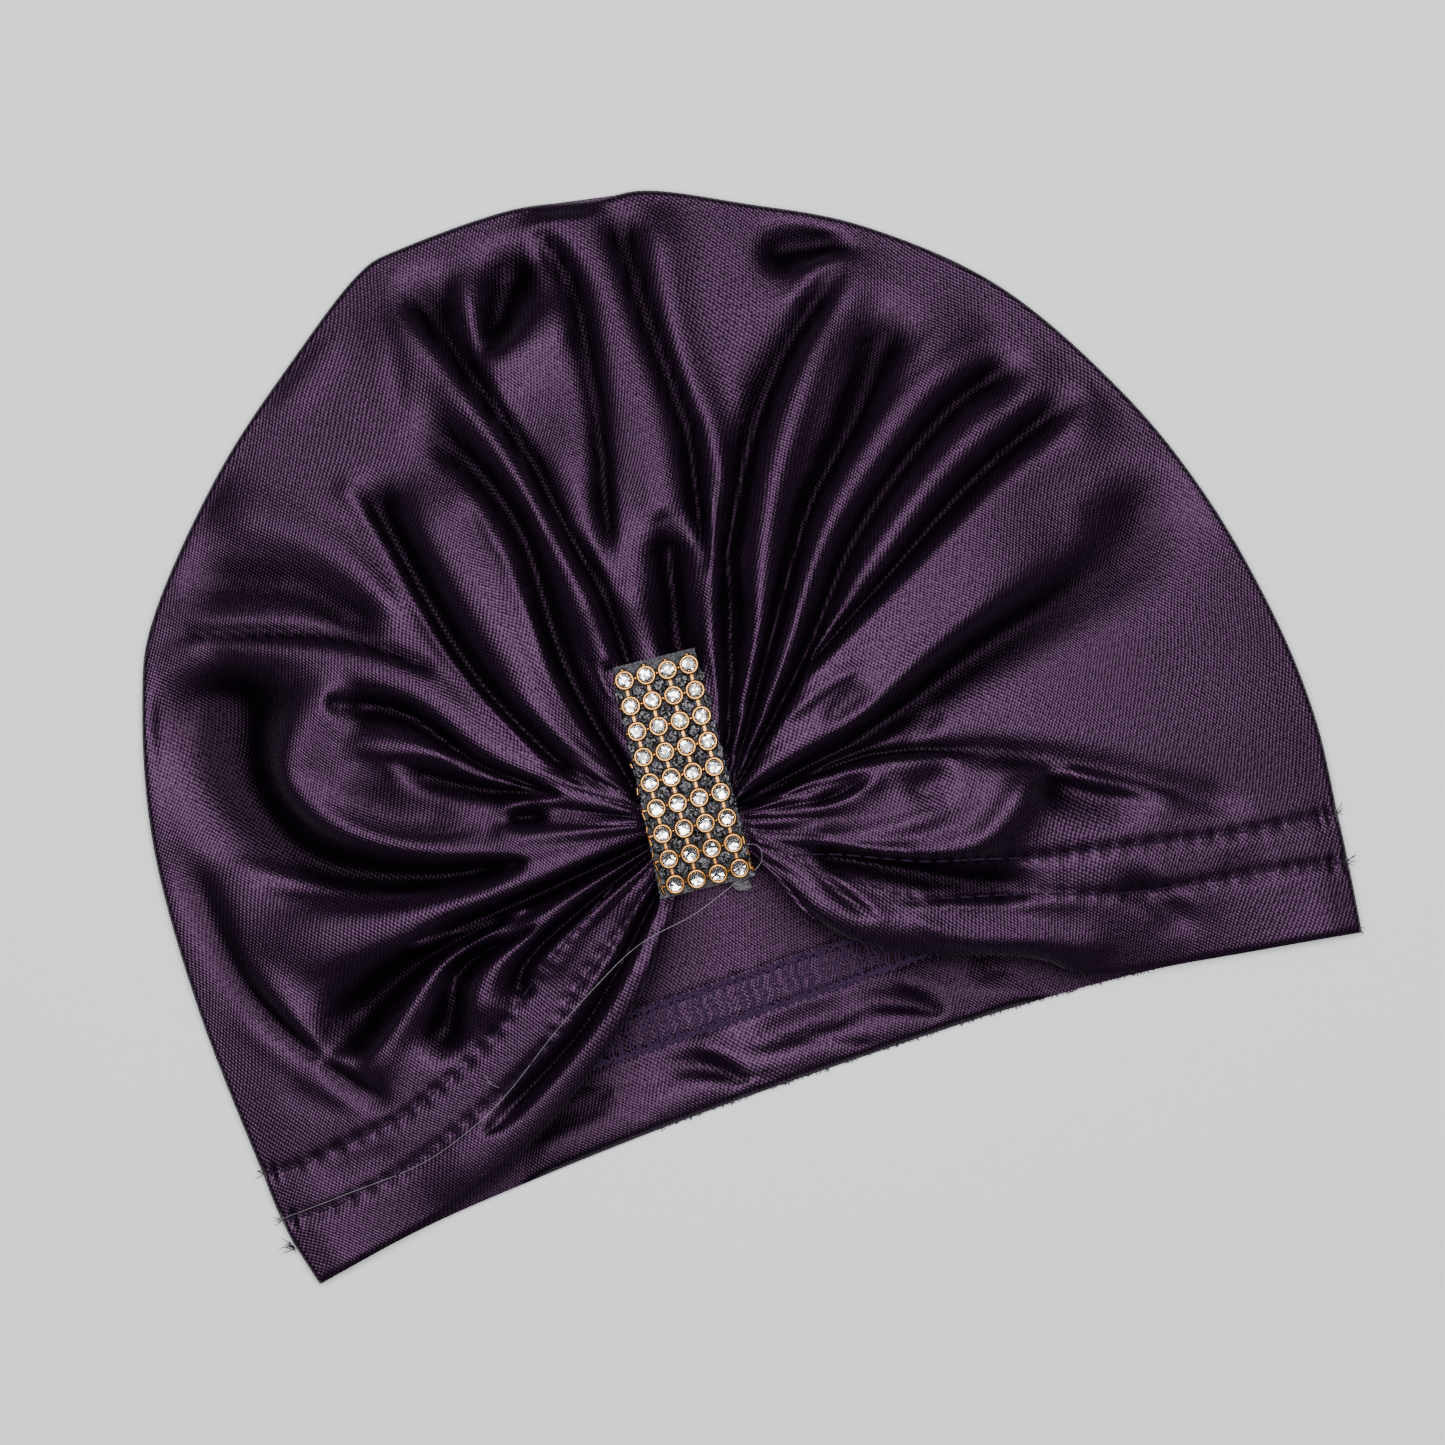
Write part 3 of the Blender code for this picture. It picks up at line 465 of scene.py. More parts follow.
# The grey knot at the strip's lower end, and its stem
TUFT_PLACE = (-4.1, 44.3, 9.6)
TUFT_THREADS = 16
TUFT_RADIUS = 0.11
TUFT_STEM = ((-5.6, 46.6), (-5.4, 45.6), (-4.6, 44.8))
TUFT_STEM_TOP = 11.0

# Frayed ends at the seams, and the fuzz along the back hem
FRAYS = (
    # x, y, z, bearing, threads, length
    (-102.2, 7.2, 2.2, 150, 9, 2.6),
    (-103.4, 22.2, 2.4, 175, 4, 1.8),
    (-102.9, 13.1, 2.3, 185, 4, 1.6),
    (102.5, 22.0, 2.4, 0, 4, 1.8),
    (101.6, 13.0, 2.3, -10, 4, 1.6),
    (99.8, 0.6, 1.6, -60, 5, 1.2),
    (48, 7.4, 1.2, 200, 5, 1.8),
)
FRAY_RADIUS = 0.07
FUZZ_SPAN = (-32, 62)
FUZZ_COUNT = 190
FUZZ_ROOT = 0.25
FUZZ_HEIGHT = 0.7

# Pleats that crowd into the gather between the charted folds
PLEAT_COUNT = 46
PLEAT_HEIGHT = 0.35
PLEAT_REACH = (11.0, 40.0)

# Camera: straight down, turned as the photograph is
PHOTO_WIDTH = 263.2
PHOTO_TURN = math.radians(-18.58)
PHOTO_MIDDLE = (1.94, 73.2)
CAMERA_HEIGHT = 1.25
SENSOR = 36.0

# Soft lights: name, place in metres, width, depth and power
SOFTBOXES = (
    ("overhead", (0.03, 0.10, 1.0), 0.76, 0.74, 19),
    ("core", (0.08, 0.06, 1.02), 0.34, 0.34, 1.8),
)
SURROUND = ((0.9, 0.92, 1, 1), 0.12)
FLOOR_SIZE = 3


def curve_through(points, per_span=8):
    """A smooth curve through the points of a row, in so many steps from each to the next."""
    spots = np.array(points, float)
    spots = np.vstack([2 * spots[0] - spots[1], spots, 2 * spots[-1] - spots[-2]])
    steps = np.linspace(0, 1, per_span, endpoint=False)[:, None]
    curve = []
    for a, b, c, d in zip(spots, spots[1:], spots[2:], spots[3:]):
        bend = (2 * a - 5 * b + 4 * c - d) * steps ** 2 + (3 * b - a - 3 * c + d) * steps ** 3
        curve.append(b + 0.5 * ((c - a) * steps + bend))
    return np.vstack(curve + [spots[-2:-1]])


def curve_length(curve):
    """The length of a curve on the plan."""
    return np.hypot(*np.diff(curve, axis=0).T).sum()


def point_along(curve, share):
    """The point of a curve at a share of its length."""
    lengths = np.hypot(*np.diff(curve, axis=0).T)
    marks = np.concatenate([[0], np.cumsum(lengths)]) / lengths.sum()
    return np.stack([np.interp(share, marks, curve[:, k]) for k in (0, 1)], axis=-1)


def nearest_on(curve, x, y):
    """How far each place is from a curve, and at what share of the curve it is nearest."""
    gap = np.full(x.shape, 1e9)
    share = np.zeros(x.shape)
    for k, (a, b) in enumerate(zip(curve, curve[1:])):
        step = b - a
        t = ((x - a[0]) * step[0] + (y - a[1]) * step[1]) / (step @ step)
        t = np.clip(t, 0, 1)
        away = np.hypot(x - a[0] - t * step[0], y - a[1] - t * step[1])
        share = np.where(away < gap, (k + t) / (len(curve) - 1), share)
        gap = np.minimum(gap, away)
    return gap, share


def smooth_step(t):
    """Runs softly from 0 to 1 as t does."""
    t = np.clip(t, 0, 1)
    return t * t * (3 - 2 * t)


DOME = curve_through(DOME_EDGE)
HEM_LEFT = curve_through(FRONT_HEM_LEFT)
HEM_RIGHT = curve_through(FRONT_HEM_RIGHT)
HEM_BACK = curve_through(BACK_HEM)
PLAN_MIDDLE = (DOME.min(axis=0) + DOME.max(axis=0)) / 2


def gather_gap(x, y):
    """How far places on the plan are from the gather."""
    return np.hypot(x - GATHER[0], y - GATHER[1])


def front_hem_gap(x, y):
    """How far places on the plan are from the front panel's hem."""
    return np.minimum(nearest_on(HEM_LEFT, x, y)[0], nearest_on(HEM_RIGHT, x, y)[0])


def back_hem(x):
    """Where the back panel's hem runs on the plan."""
    return np.interp(x, HEM_BACK[:, 0], HEM_BACK[:, 1])


def to_model(x, y, z):
    """Plan millimetres to model metres."""
    return np.stack([x - PLAN_MIDDLE[0], y - PLAN_MIDDLE[1], z], axis=-1) * MM


def strip_frame(x, y):
    """Places on the plan as distances along and across the strip."""
    dx = x - STRIP_MIDDLE[0]
    dy = y - STRIP_MIDDLE[1]
    along = dx * math.sin(STRIP_TURN) + dy * math.cos(STRIP_TURN)
    across = dx * math.cos(STRIP_TURN) - dy * math.sin(STRIP_TURN)
    return along, across


def strip_place(along, across, lift):
    """A place on the bent strip, lifted square to it from the cloth."""
    angle = (along - STRIP_BEND_TOP) / STRIP_BEND
    reach = STRIP_BEND_TOP + (STRIP_BEND + lift) * np.sin(angle)
    z = GATHER_TOP - STRIP_BEND * (1 - np.cos(angle)) + lift * np.cos(angle)
    x = STRIP_MIDDLE[0] + across * math.cos(STRIP_TURN) + reach * math.sin(STRIP_TURN)
    y = STRIP_MIDDLE[1] - across * math.sin(STRIP_TURN) + reach * math.cos(STRIP_TURN)
    return x, y, z


def strip_matrix(along, across):
    """Turns millimetres at one place of the strip, z square to it, into model metres."""
    angle = (along - STRIP_BEND_TOP) / STRIP_BEND
    base = Vector(to_model(*strip_place(along, across, 0)))
    turn = Matrix.Rotation(-STRIP_TURN, 4, "Z") @ Matrix.Rotation(-angle, 4, "X")
    return Matrix.Translation(base) @ turn @ Matrix.Scale(MM, 4)


def cup_places():
    """Row and column numbers from 1, with each cup's place along and across the strip."""
    for row in range(CUP_ROWS):
        along = ((CUP_ROWS - 1) / 2 - row) * PITCH_ALONG
        for column in range(CUP_COLUMNS):
            yield row + 1, column + 1, along, (column - (CUP_COLUMNS - 1) / 2) * PITCH_ACROSS


def puffed_height(x, y):
    """The cap's form without its folds: a quick turn at the seam, then a slow swell."""
    rim_gap, _ = nearest_on(DOME, x, y)
    turn = 1 - np.clip(rim_gap / EDGE_REACH, 0, 1)
    swell = 1 - np.clip(rim_gap / PUFF_REACH, 0, 1)
    pillow = RIM_TOP + EDGE_RISE * (1 - turn ** 2)
    pillow = pillow + (PUFF_TOP - RIM_TOP - EDGE_RISE) * (1 - swell ** PUFF_CURVE)
    hem_gap = front_hem_gap(x, y)
    climb = smooth_step(1 - gather_gap(x, y) / HEM_CLIMB)
    hem = HEM_CORNER_TOP + (GATHER_TOP - HEM_CORNER_TOP) * climb
    inward = 1 - (1 - np.clip(hem_gap / HEM_REACH, 0, 1)) ** HEM_CURVE
    height = np.where(pillow > hem, hem + (pillow - hem) * inward, pillow)
    turn = 1 - np.clip(hem_gap / HEM_ROUND, 0, 1)
    return height - HEM_DIP * turn ** 2


def past_strip(x, y):
    """How far places lie outside the strip's backing."""
    along, across = strip_frame(x, y)
    past_end = np.maximum(np.abs(along - BACKING_SHIFT) - BACKING_LENGTH / 2, 0)
    past_side = np.maximum(np.abs(across) - BACKING_WIDTH / 2, 0)
    return np.hypot(past_end, past_side)


def fold_relief(x, y, folds):
    """What the folds add to the height: each place takes the mean of the folds round it,
    the near and the wide ones counting most. Folds that start by the strip run under it."""
    total = np.zeros(x.shape)
    weight = np.full(x.shape, REST_WEIGHT)
    for _, height, inner, outer, foot, path in folds:
        spots = np.array(path, float)
        step = spots[1] - spots[0]
        if past_strip(*spots[0]) < TUCK_WITHIN:
            spots = np.vstack([spots[0] - TUCK * step / np.hypot(*step), spots])
        reach = FOLD_REACH * max(inner, outer)
        low = spots.min(axis=0) - reach
        high = spots.max(axis=0) + reach
        near = (x > low[0]) & (x < high[0]) & (y > low[1]) & (y < high[1])
        curve = curve_through(spots, 6)
        length = curve_length(curve)
        gap, share = nearest_on(curve, x[near], y[near])
        width = inner + (outer - inner) * share
        fade_in = min(FADE_START + FADE_WIDE * inner, FADE_SHARE * length)
        fade_out = min(FADE_START + FADE_WIDE * outer, FADE_SHARE * length)
        fade = smooth_step(share * length / fade_in) * smooth_step((1 - share) * length / fade_out)
        round_off = (CREST_ROUND if height > 0 else VALLEY_ROUND) * (foot - FOOT_BASE) * width
        pull = np.maximum(width / np.hypot(gap, round_off) - 1 / FOLD_REACH, 0)
        pull = np.sqrt(fade) * pull ** FOLD_PULL
        tall = height * (width / max(inner, outer)) ** FOLD_TAPER
        if height < 0:
            tall = tall * (1 + VALLEY_SINK * np.maximum(1 - gap / width, 0))
        total[near] += FOLD_DEPTH * tall * fade * pull
        weight[near] += pull
    rim_gap, _ = nearest_on(DOME, x, y)
    depth = np.interp(gather_gap(x, y), *zip(FOLD_NEAR, FOLD_FAR))
    relief = total / weight * depth * smooth_step(rim_gap / RIM_FADE)
    crest = CREST_TOP * np.tanh(np.maximum(relief, 0) / CREST_TOP)
    return crest - VALLEY_CRISP * np.maximum(-relief, 0) ** VALLEY_POWER


def pleat_relief(x, y):
    """Small pleats that crowd into the gather, uneven in width and height."""
    dx = x - GATHER[0]
    dy = y - GATHER[1]
    bearing = np.arctan2(dy, dx)
    reach = np.hypot(dx, dy)
    uneven = 0.8 * np.sin(5 * bearing + 1.3) + 0.5 * np.sin(11 * bearing + 0.4)
    crest = np.abs(np.sin(PLEAT_COUNT / 2 * bearing + uneven + 0.02 * reach))
    swing = 0.65 + 0.35 * np.sin(7 * bearing + 2.1)
    near, far = PLEAT_REACH
    fade = smooth_step((far - reach) / (far - near))
    return PLEAT_HEIGHT * (1.4 * crest - 0.9) * swing * fade


def front_height(x, y):
    """The top of the front panel, drawn down to the strip that lies on it."""
    along, across = strip_frame(x, y)
    _, _, rest = strip_place(along, across, 0)
    past = past_strip(x, y)
    free = smooth_step((past - STRIP_MARGIN) / STRIP_FALL)
    z = rest - STRIP_SINK + (puffed_height(x, y) - rest + STRIP_SINK) * free
    z += fold_relief(x, y, FOLDS) + FINE_DEPTH * fold_relief(x, y, FINE_FOLDS) + pleat_relief(x, y)
    for row in STITCH_ROWS:
        curve = curve_through(row)
        length = curve_length(curve)
        gap, share = nearest_on(curve, x, y)
        drawn = 1 + SEAM_PUCKER * np.cos(math.tau * share * length / (STITCH_LENGTH + STITCH_GAP))
        fade = smooth_step((1 - share) / SEAM_FADE)
        z -= SEAM_DIP * drawn * np.exp(-(gap / SEAM_WIDTH) ** 2) * fade
    reach, gap, slope = STRIP_SKIRT
    z = np.where(past < reach, np.minimum(z, rest - gap + slope * past), z)
    return FRONT_FLOOR + FLOOR_SOFT * np.logaddexp(0, (z - FRONT_FLOOR) / FLOOR_SOFT)


def dome_point(bearing):
    """Where a ray from the gather meets the dome's edge."""
    away = DOME - np.array(GATHER)
    bearings = np.degrees(np.unwrap(np.arctan2(away[:, 1], away[:, 0])[::-1]))
    reach = np.hypot(away[:, 0], away[:, 1])[::-1]
    distance = np.interp(bearing, bearings, reach)
    angle = np.radians(bearing)
    return np.array([GATHER[0] + distance * np.cos(angle), GATHER[1] + distance * np.sin(angle)])


def hem_bow(curve, shares):
    """How far a hem curve stands off the straight line between its ends."""
    straight = curve[0] + (curve[-1] - curve[0]) * shares[:, None]
    return point_along(curve, shares) - straight


def crowded_ends(count, crowd):
    """Shares from 0 to 1 that lie closer together at both ends."""
    t = np.linspace(0, 1, count + 1)
    return t - crowd * np.sin(math.tau * t) / math.tau


def front_plan():
    """The plan of the front panel: columns fan out from the gather, the first and the last
    run along the hem, and the ones beside them bow with it."""
    away = DOME[[0, -1]] - np.array(GATHER)
    first, last = np.degrees(np.arctan2(away[:, 1], away[:, 0]))
    inner_rows = (1 - RIM_SHARE) * np.linspace(0, 1, FRONT_ROWS + 1) ** ROW_CROWD
    rim_rows = 1 - RIM_SHARE * np.linspace(1, 0, RIM_ROWS + 1)[1:] ** RIM_CROWD
    shares = np.concatenate([inner_rows, rim_rows])
    left_bow = hem_bow(HEM_LEFT, shares)
    right_bow = hem_bow(HEM_RIGHT, shares)
    columns = []
    for u in crowded_ends(FRONT_COLUMNS, COLUMN_CROWD):
        outer = dome_point(first + 360 + (last - first - 360) * u)
        angle = math.radians(np.interp(u, (0, 1), GATHER_BEARINGS))
        inner = np.array(GATHER) + GATHER_RADIUS * np.array([math.cos(angle), math.sin(angle)])
        bow = left_bow * max(0, 1 - u / BOW_SHARE) ** 2
        bow += right_bow * max(0, 1 - (1 - u) / BOW_SHARE) ** 2
        columns.append(inner + (outer - inner) * shares[:, None] + bow)
    return np.array(columns)


def hollowness(x, y, z, reach):
    """How deep the places of each column of a lattice sit below the ones at a distance to
    both sides, as a slope. The columns are compared along their own direction."""
    rows = np.arange(z.shape[0])
    hollow = np.zeros(z.shape)
    for j in range(z.shape[1]):
        spacing = np.hypot(np.diff(x[:, j]), np.diff(y[:, j])).mean()
        step = max(1, round(reach / spacing))
        before = z[np.maximum(rows - step, 0), j]
        after = z[np.minimum(rows + step, rows[-1]), j]
        hollow[:, j] = ((before + after) / 2 - z[:, j]) / (step * spacing)
    return hollow


def hollow_shade(x, y, z):
    """Painted shade between the cloth's folds: the share of colour and gloss that each place keeps,
    less the deeper it sits in a hollow.
    """
    shade = np.zeros(z.shape)
    for reach, slope in HOLLOW_REACHES:
        across = hollowness(x, y, z, reach)
        along = hollowness(x.T, y.T, z.T, reach).T
        shade = np.maximum(shade, np.maximum(across, along) / slope)
    return 1 - HOLLOW_SHADE * smooth_step(shade)


def add_object(name, data):
    """A new object of the scene."""
    thing = bpy.data.objects.new(name, data)
    bpy.context.scene.collection.objects.link(thing)
    return thing


def cloth_solid(name, top, bottom, plan, material):
    """A closed wall of cloth between two lattices of points, with its plan as its UV map."""
    across, along, _ = top.shape
    index = np.arange(across * along).reshape(across, along)
    quads = np.stack([index[:-1, :-1], index[1:, :-1], index[1:, 1:], index[:-1, 1:]], axis=-1)
    quads = quads.reshape(-1, 4)
    edge = np.concatenate([
        index[:, 0], index[-1, 1:], index[-2::-1, -1], index[0, -2:0:-1],
    ])
    after = np.roll(edge, -1)
    below = across * along
    sides = np.stack([edge, edge + below, after + below, after], axis=-1)
    signed = np.cross(top[1, 0] - top[0, 0], top[0, 1] - top[0, 0])[2]
    if signed < 0:
        quads = quads[:, ::-1]
        sides = sides[:, ::-1]
    faces = np.concatenate([quads, quads[:, ::-1] + below, sides])
    points = np.concatenate([top.reshape(-1, 3), bottom.reshape(-1, 3)])
    mesh = bpy.data.meshes.new(name)
    mesh.from_pydata(points.tolist(), [], faces.tolist())
    mesh.shade_smooth()
    on_rim = np.zeros(2 * below, bool)
    on_rim[edge] = on_rim[edge + below] = True
    ends = np.empty(2 * len(mesh.edges), np.int32)
    mesh.edges.foreach_get("vertices", ends)
    ends = ends.reshape(-1, 2)
    sharp = on_rim[ends].all(axis=1) & ((ends[:, 0] < below) == (ends[:, 1] < below))
    mesh.attributes.new("sharp_edge", "BOOLEAN", "EDGE").data.foreach_set("value", sharp)
    layer = mesh.uv_layers.new(name="plan")
    spots = np.concatenate([plan.reshape(-1, 2)] * 2)
    spots = spots[faces.reshape(-1)] * PLAN_SCALE
    layer.data.foreach_set("uv", spots.astype(np.float32).reshape(-1))
    mesh.materials.append(material)
    return add_object(name, mesh)


def store_painted_shade(cloth, shade):
    """Stores on a cloth the painted shade of its upper side: the share of its colour and gloss that
    each place keeps.
    """
    layer = cloth.data.attributes.new("light", "FLOAT", "POINT")
    values = np.concatenate([shade.reshape(-1), np.ones(shade.size)])
    layer.data.foreach_set("value", values.astype(np.float32))


def back_row(level):
    """One row of the back panel's plan, from the left edge to the right."""
    turn = int(np.argmax(DOME[:, 1]))
    left = np.interp(level, DOME[:turn + 1, 1], DOME[:turn + 1, 0])
    right = np.interp(-level, -DOME[turn:, 1], DOME[turn:, 0])
    x = left + (right - left) * crowded_ends(BACK_COLUMNS, BACK_COLUMN_CROWD)
    return np.stack([x, level + back_hem(x) * max(0, 1 - level / BACK_NEAR)], axis=-1)


def back_height(x, y):
    """The back panel's upper side: a turned hem, its puckered stitching, then single cloth."""
    hem = BACK_HEM_RISE * smooth_step((LOOPER_HIGH - y) / BACK_HEM_STEP + 0.5)
    turn = 1 - np.clip((y - back_hem(x)) / BACK_HEM_ROUND, 0, 1)
    band = smooth_step((y - LOOPER_LOW + PUCKER_FADE) / PUCKER_FADE)
    band = band * smooth_step((LOOPER_HIGH + PUCKER_FADE - y) / PUCKER_FADE)
    pucker = band * PUCKER * np.sin(math.tau * x / LOOPER_PITCH + 1.2 * np.sin(0.31 * x))
    dip = sum(np.exp(-((y - row) / CHAIN_WIDTH) ** 2) for row in (LOOPER_LOW, LOOPER_HIGH))
    z = BACK_TOP + hem + fold_relief(x, y, BACK_FOLDS) + pucker - CHAIN_DIP * dip
    z = z - BACK_HEM_DIP * turn ** 2
    mouth = MOUTH_HALF + MOUTH_SLOPE * np.abs(MOUTH_MIDDLE[1] - y)
    under_front = smooth_step((np.abs(x - MOUTH_MIDDLE[0]) - mouth) / MOUTH_FADE)
    z = z + (BACK_TOP + hem - z) * under_front * (y > 0)
    room = BACK_ROOM[0] + BACK_ROOM[1] * (1 - under_front)
    return np.maximum(np.minimum(z, BACK_TOP + room), BACK_LOWEST)


def swept_threads(name, paths, radius, sides, material):
    """Threads of a radius in millimetres along paths of model points, joined in one mesh."""
    points = []
    faces = []
    for path in paths:
        path = np.asarray(path, float)
        ahead = np.gradient(path, axis=0)
        ahead /= np.linalg.norm(ahead, axis=1)[:, None] + 1e-12
        side = np.cross(ahead, (0, 0, 1.0))
        flat = np.linalg.norm(side, axis=1) < 1e-3
        side[flat] = (1, 0, 0)
        side /= np.linalg.norm(side, axis=1)[:, None]
        lift = np.cross(side, ahead)
        thickness = np.full(len(path), radius * MM)
        thickness[[0, -1]] *= THREAD_TAPER
        first = len(points)
        for k in range(sides):
            angle = math.tau * k / sides
            ring = side * math.cos(angle) + lift * math.sin(angle)
            points.extend((path + ring * thickness[:, None]).tolist())
        count = len(path)
        for k in range(sides):
            here = first + k * count
            there = first + (k + 1) % sides * count
            faces += [(here + i, here + i + 1, there + i + 1, there + i) for i in range(count - 1)]
        faces.append([first + k * count for k in range(sides)])
        faces.append([first + k * count + count - 1 for k in reversed(range(sides))])
    mesh = bpy.data.meshes.new(name)
    mesh.from_pydata(points, [], faces)
    mesh.shade_smooth()
    mesh.materials.append(material)
    return add_object(name, mesh)


def stitch_paths():
    """One short arched path for each stitch of the topstitched rows."""
    paths = []
    for row in STITCH_ROWS:
        curve = curve_through(row)
        length = curve_length(curve)
        count = int(length / (STITCH_LENGTH + STITCH_GAP))
        for k in range(count):
            begin = (k + 0.5 * STITCH_GAP / STITCH_LENGTH) / count
            shares = begin + np.linspace(0, STITCH_LENGTH / length, STITCH_POINTS)
            x, y = point_along(curve, shares).T
            arch = STITCH_ARCH * np.sin(np.linspace(0, math.pi, STITCH_POINTS)) - STITCH_SINK
            paths.append(to_model(x, y, front_height(x, y) + arch))
    return paths


def looper_paths():
    """The cover stitch's underside: two chains of loops with threads swung between them."""
    start, end = LOOPER_SPAN
    x = np.linspace(start, end, int((end - start) / LOOPER_STEP))
    paths = []
    for shift in LOOPER_STARTS:
        turn = math.tau * (x / LOOPER_PITCH + shift) + 0.5 * np.sin(0.7 * x)
        sway = np.clip(1.35 * np.sin(turn), -1, 1)
        y = (LOOPER_LOW + LOOPER_HIGH) / 2 + sway * (LOOPER_HIGH - LOOPER_LOW) / 2
        across = x - 0.33 * np.sin(2 * turn) + 0.28 * np.sin(1.9 * y)
        z = back_height(across, y) + LOOPER_LIFT[0] + LOOPER_LIFT[1] * np.cos(turn)
        paths.append(to_model(across, y, z))
    for level in (LOOPER_LOW, LOOPER_HIGH):
        for side in (0, 1):
            turn = math.tau * x / CHAIN_PITCH + math.pi * side
            y = level + CHAIN_HALF * np.sin(turn) * (0.85 + 0.15 * np.sin(1.3 * x))
            across = x + 0.35 * np.sin(2 * turn)
            z = back_height(across, y) + CHAIN_LIFT[0] + CHAIN_LIFT[1] * np.cos(turn)
            paths.append(to_model(across, y, z))
    return paths


def loose_path(points, lift):
    """A loose thread that lies on the cloth and swings free over the mouth."""
    curve = curve_through(points, 10)
    x, y = curve[:, 0], curve[:, 1]
    on_cloth = past_strip(x, y) > CLEAR_OFF_STRIP
    on_cloth &= (y > MOUTH_TOP) | (x < MOUTH_LEFT) | (x > MOUTH_RIGHT)
    z = front_height(x, y) + lift
    share = np.arange(len(x))
    z = np.interp(share, share[on_cloth], z[on_cloth])
    window = np.ones(2 * CLEAR_EVEN + 1) / (2 * CLEAR_EVEN + 1)
    smooth = np.convolve(np.pad(z, CLEAR_EVEN, "edge"), window, "valid")
    z = np.maximum(smooth, np.where(on_cloth, z - lift + CLEAR_LEAST, 0))
    return to_model(x, y, z)


def tuft_paths():
    """A small knot of grey thread that hangs at the strip's lower end."""
    paths = []
    for _ in range(TUFT_THREADS):
        turn = DICE.uniform(0, math.tau)
        lean = DICE.uniform(0.5, 1.0)
        steps = np.linspace(0, math.tau * DICE.uniform(0.8, 1.3), 22)
        wide, deep = DICE.uniform(0.7, 1.5), DICE.uniform(0.5, 1.1)
        x = TUFT_PLACE[0] + wide * np.cos(steps + turn) + 0.3 * np.sin(3 * steps)
        y = TUFT_PLACE[1] + deep * np.sin(steps * lean + turn) + 0.25 * np.cos(2 * steps + turn)
        z = TUFT_PLACE[2] + 0.8 * np.sin(2 * steps + turn) * lean
        paths.append(to_model(x, y, z))
    stem = curve_through(TUFT_STEM, 6)
    z = np.linspace(TUFT_STEM_TOP, TUFT_PLACE[2], len(stem))
    paths.append(to_model(stem[:, 0], stem[:, 1], z))
    return paths


def fray_paths():
    """Ends of thread that stand out of the seams, and the short fuzz along the back hem."""
    paths = []
    for x, y, z, bearing, count, length in FRAYS:
        for _ in range(count):
            angle = math.radians(bearing + DICE.uniform(-38, 38))
            reach = np.linspace(0, length * DICE.uniform(0.5, 1.15), 8)
            bow = DICE.uniform(-0.35, 0.35) * reach ** 2 / length
            fray_x = x + reach * math.cos(angle) - bow * math.sin(angle)
            fray_y = y + DICE.uniform(-0.5, 0.5) + reach * math.sin(angle) + bow * math.cos(angle)
            paths.append(to_model(fray_x, fray_y, z - 0.06 * reach + DICE.uniform(-0.3, 0.3)))
    for _ in range(FUZZ_COUNT):
        x = DICE.uniform(*FUZZ_SPAN)
        y = back_hem(x) + FUZZ_ROOT
        angle = math.radians(-90 + DICE.uniform(-60, 60))
        reach = np.linspace(0, DICE.uniform(0.35, 0.95), 5)
        fuzz_x = x + reach * math.cos(angle)
        fuzz_y = y + reach * math.sin(angle)
        paths.append(to_model(fuzz_x, fuzz_y, np.full(len(reach), FUZZ_HEIGHT)))
    return paths


def join_rings(builder, low, high):
    """Faces between two rings of points; a ring of one point closes to a tip."""
    sides = max(len(low), len(high))
    for k in range(sides):
        m = (k + 1) % sides
        corners = [low[k % len(low)], low[m % len(low)], high[m % len(high)], high[k % len(high)]]
        builder.faces.new(list(dict.fromkeys(corners)))


def turned(builder, profile, sides, matrix, jitter=0.0):
    """A closed turned solid; the profile runs from axis to axis."""
    rings = []
    for radius, height in profile:
        if radius == 0:
            rings.append([builder.verts.new(matrix @ Vector((0, 0, height)))])
            continue
        ring = []
        for k in range(sides):
            angle = math.tau * (k + 0.5) / sides
            shift = [DICE.uniform(-jitter, jitter) for _ in range(3)] if jitter else (0, 0, 0)
            spot = Vector((radius * math.cos(angle), radius * math.sin(angle), height))
            ring.append(builder.verts.new(matrix @ (spot + Vector(shift))))
        rings.append(ring)
    for low, high in zip(rings, rings[1:]):
        join_rings(builder, low, high)


def bar(builder, low, high, matrix):
    """A bar between two corners with its upper edges taken off."""
    x0, y0, z0 = low
    x1, y1, z1 = high
    cut = BAR_EDGE * min(x1 - x0, y1 - y0, z1 - z0)
    rings = []
    for z, inset in ((z0, 0), (z1 - cut, 0), (z1, cut)):
        left, right = x0 + inset, x1 - inset
        near, far = y0 + inset, y1 - inset
        corners = ((left, near), (right, near), (right, far), (left, far))
        rings.append([builder.verts.new(matrix @ Vector((x, y, z))) for x, y in corners])
    builder.faces.new(rings[0][::-1])
    builder.faces.new(rings[-1])
    for below, above in zip(rings, rings[1:]):
        join_rings(builder, below, above)


def finish_mesh(name, builder, material, smooth_angle=None):
    """A mesh from a bmesh; faces flatter together than the angle are shaded smooth."""
    bmesh.ops.recalc_face_normals(builder, faces=builder.faces)
    for face in builder.faces:
        face.smooth = smooth_angle is not None
    if smooth_angle is not None:
        for edge in builder.edges:
            edge.smooth = len(edge.link_faces) == 2 and edge.calc_face_angle(0) < smooth_angle
    mesh = bpy.data.meshes.new(name)
    builder.to_mesh(mesh)
    builder.free()
    mesh.materials.append(material)
    return mesh


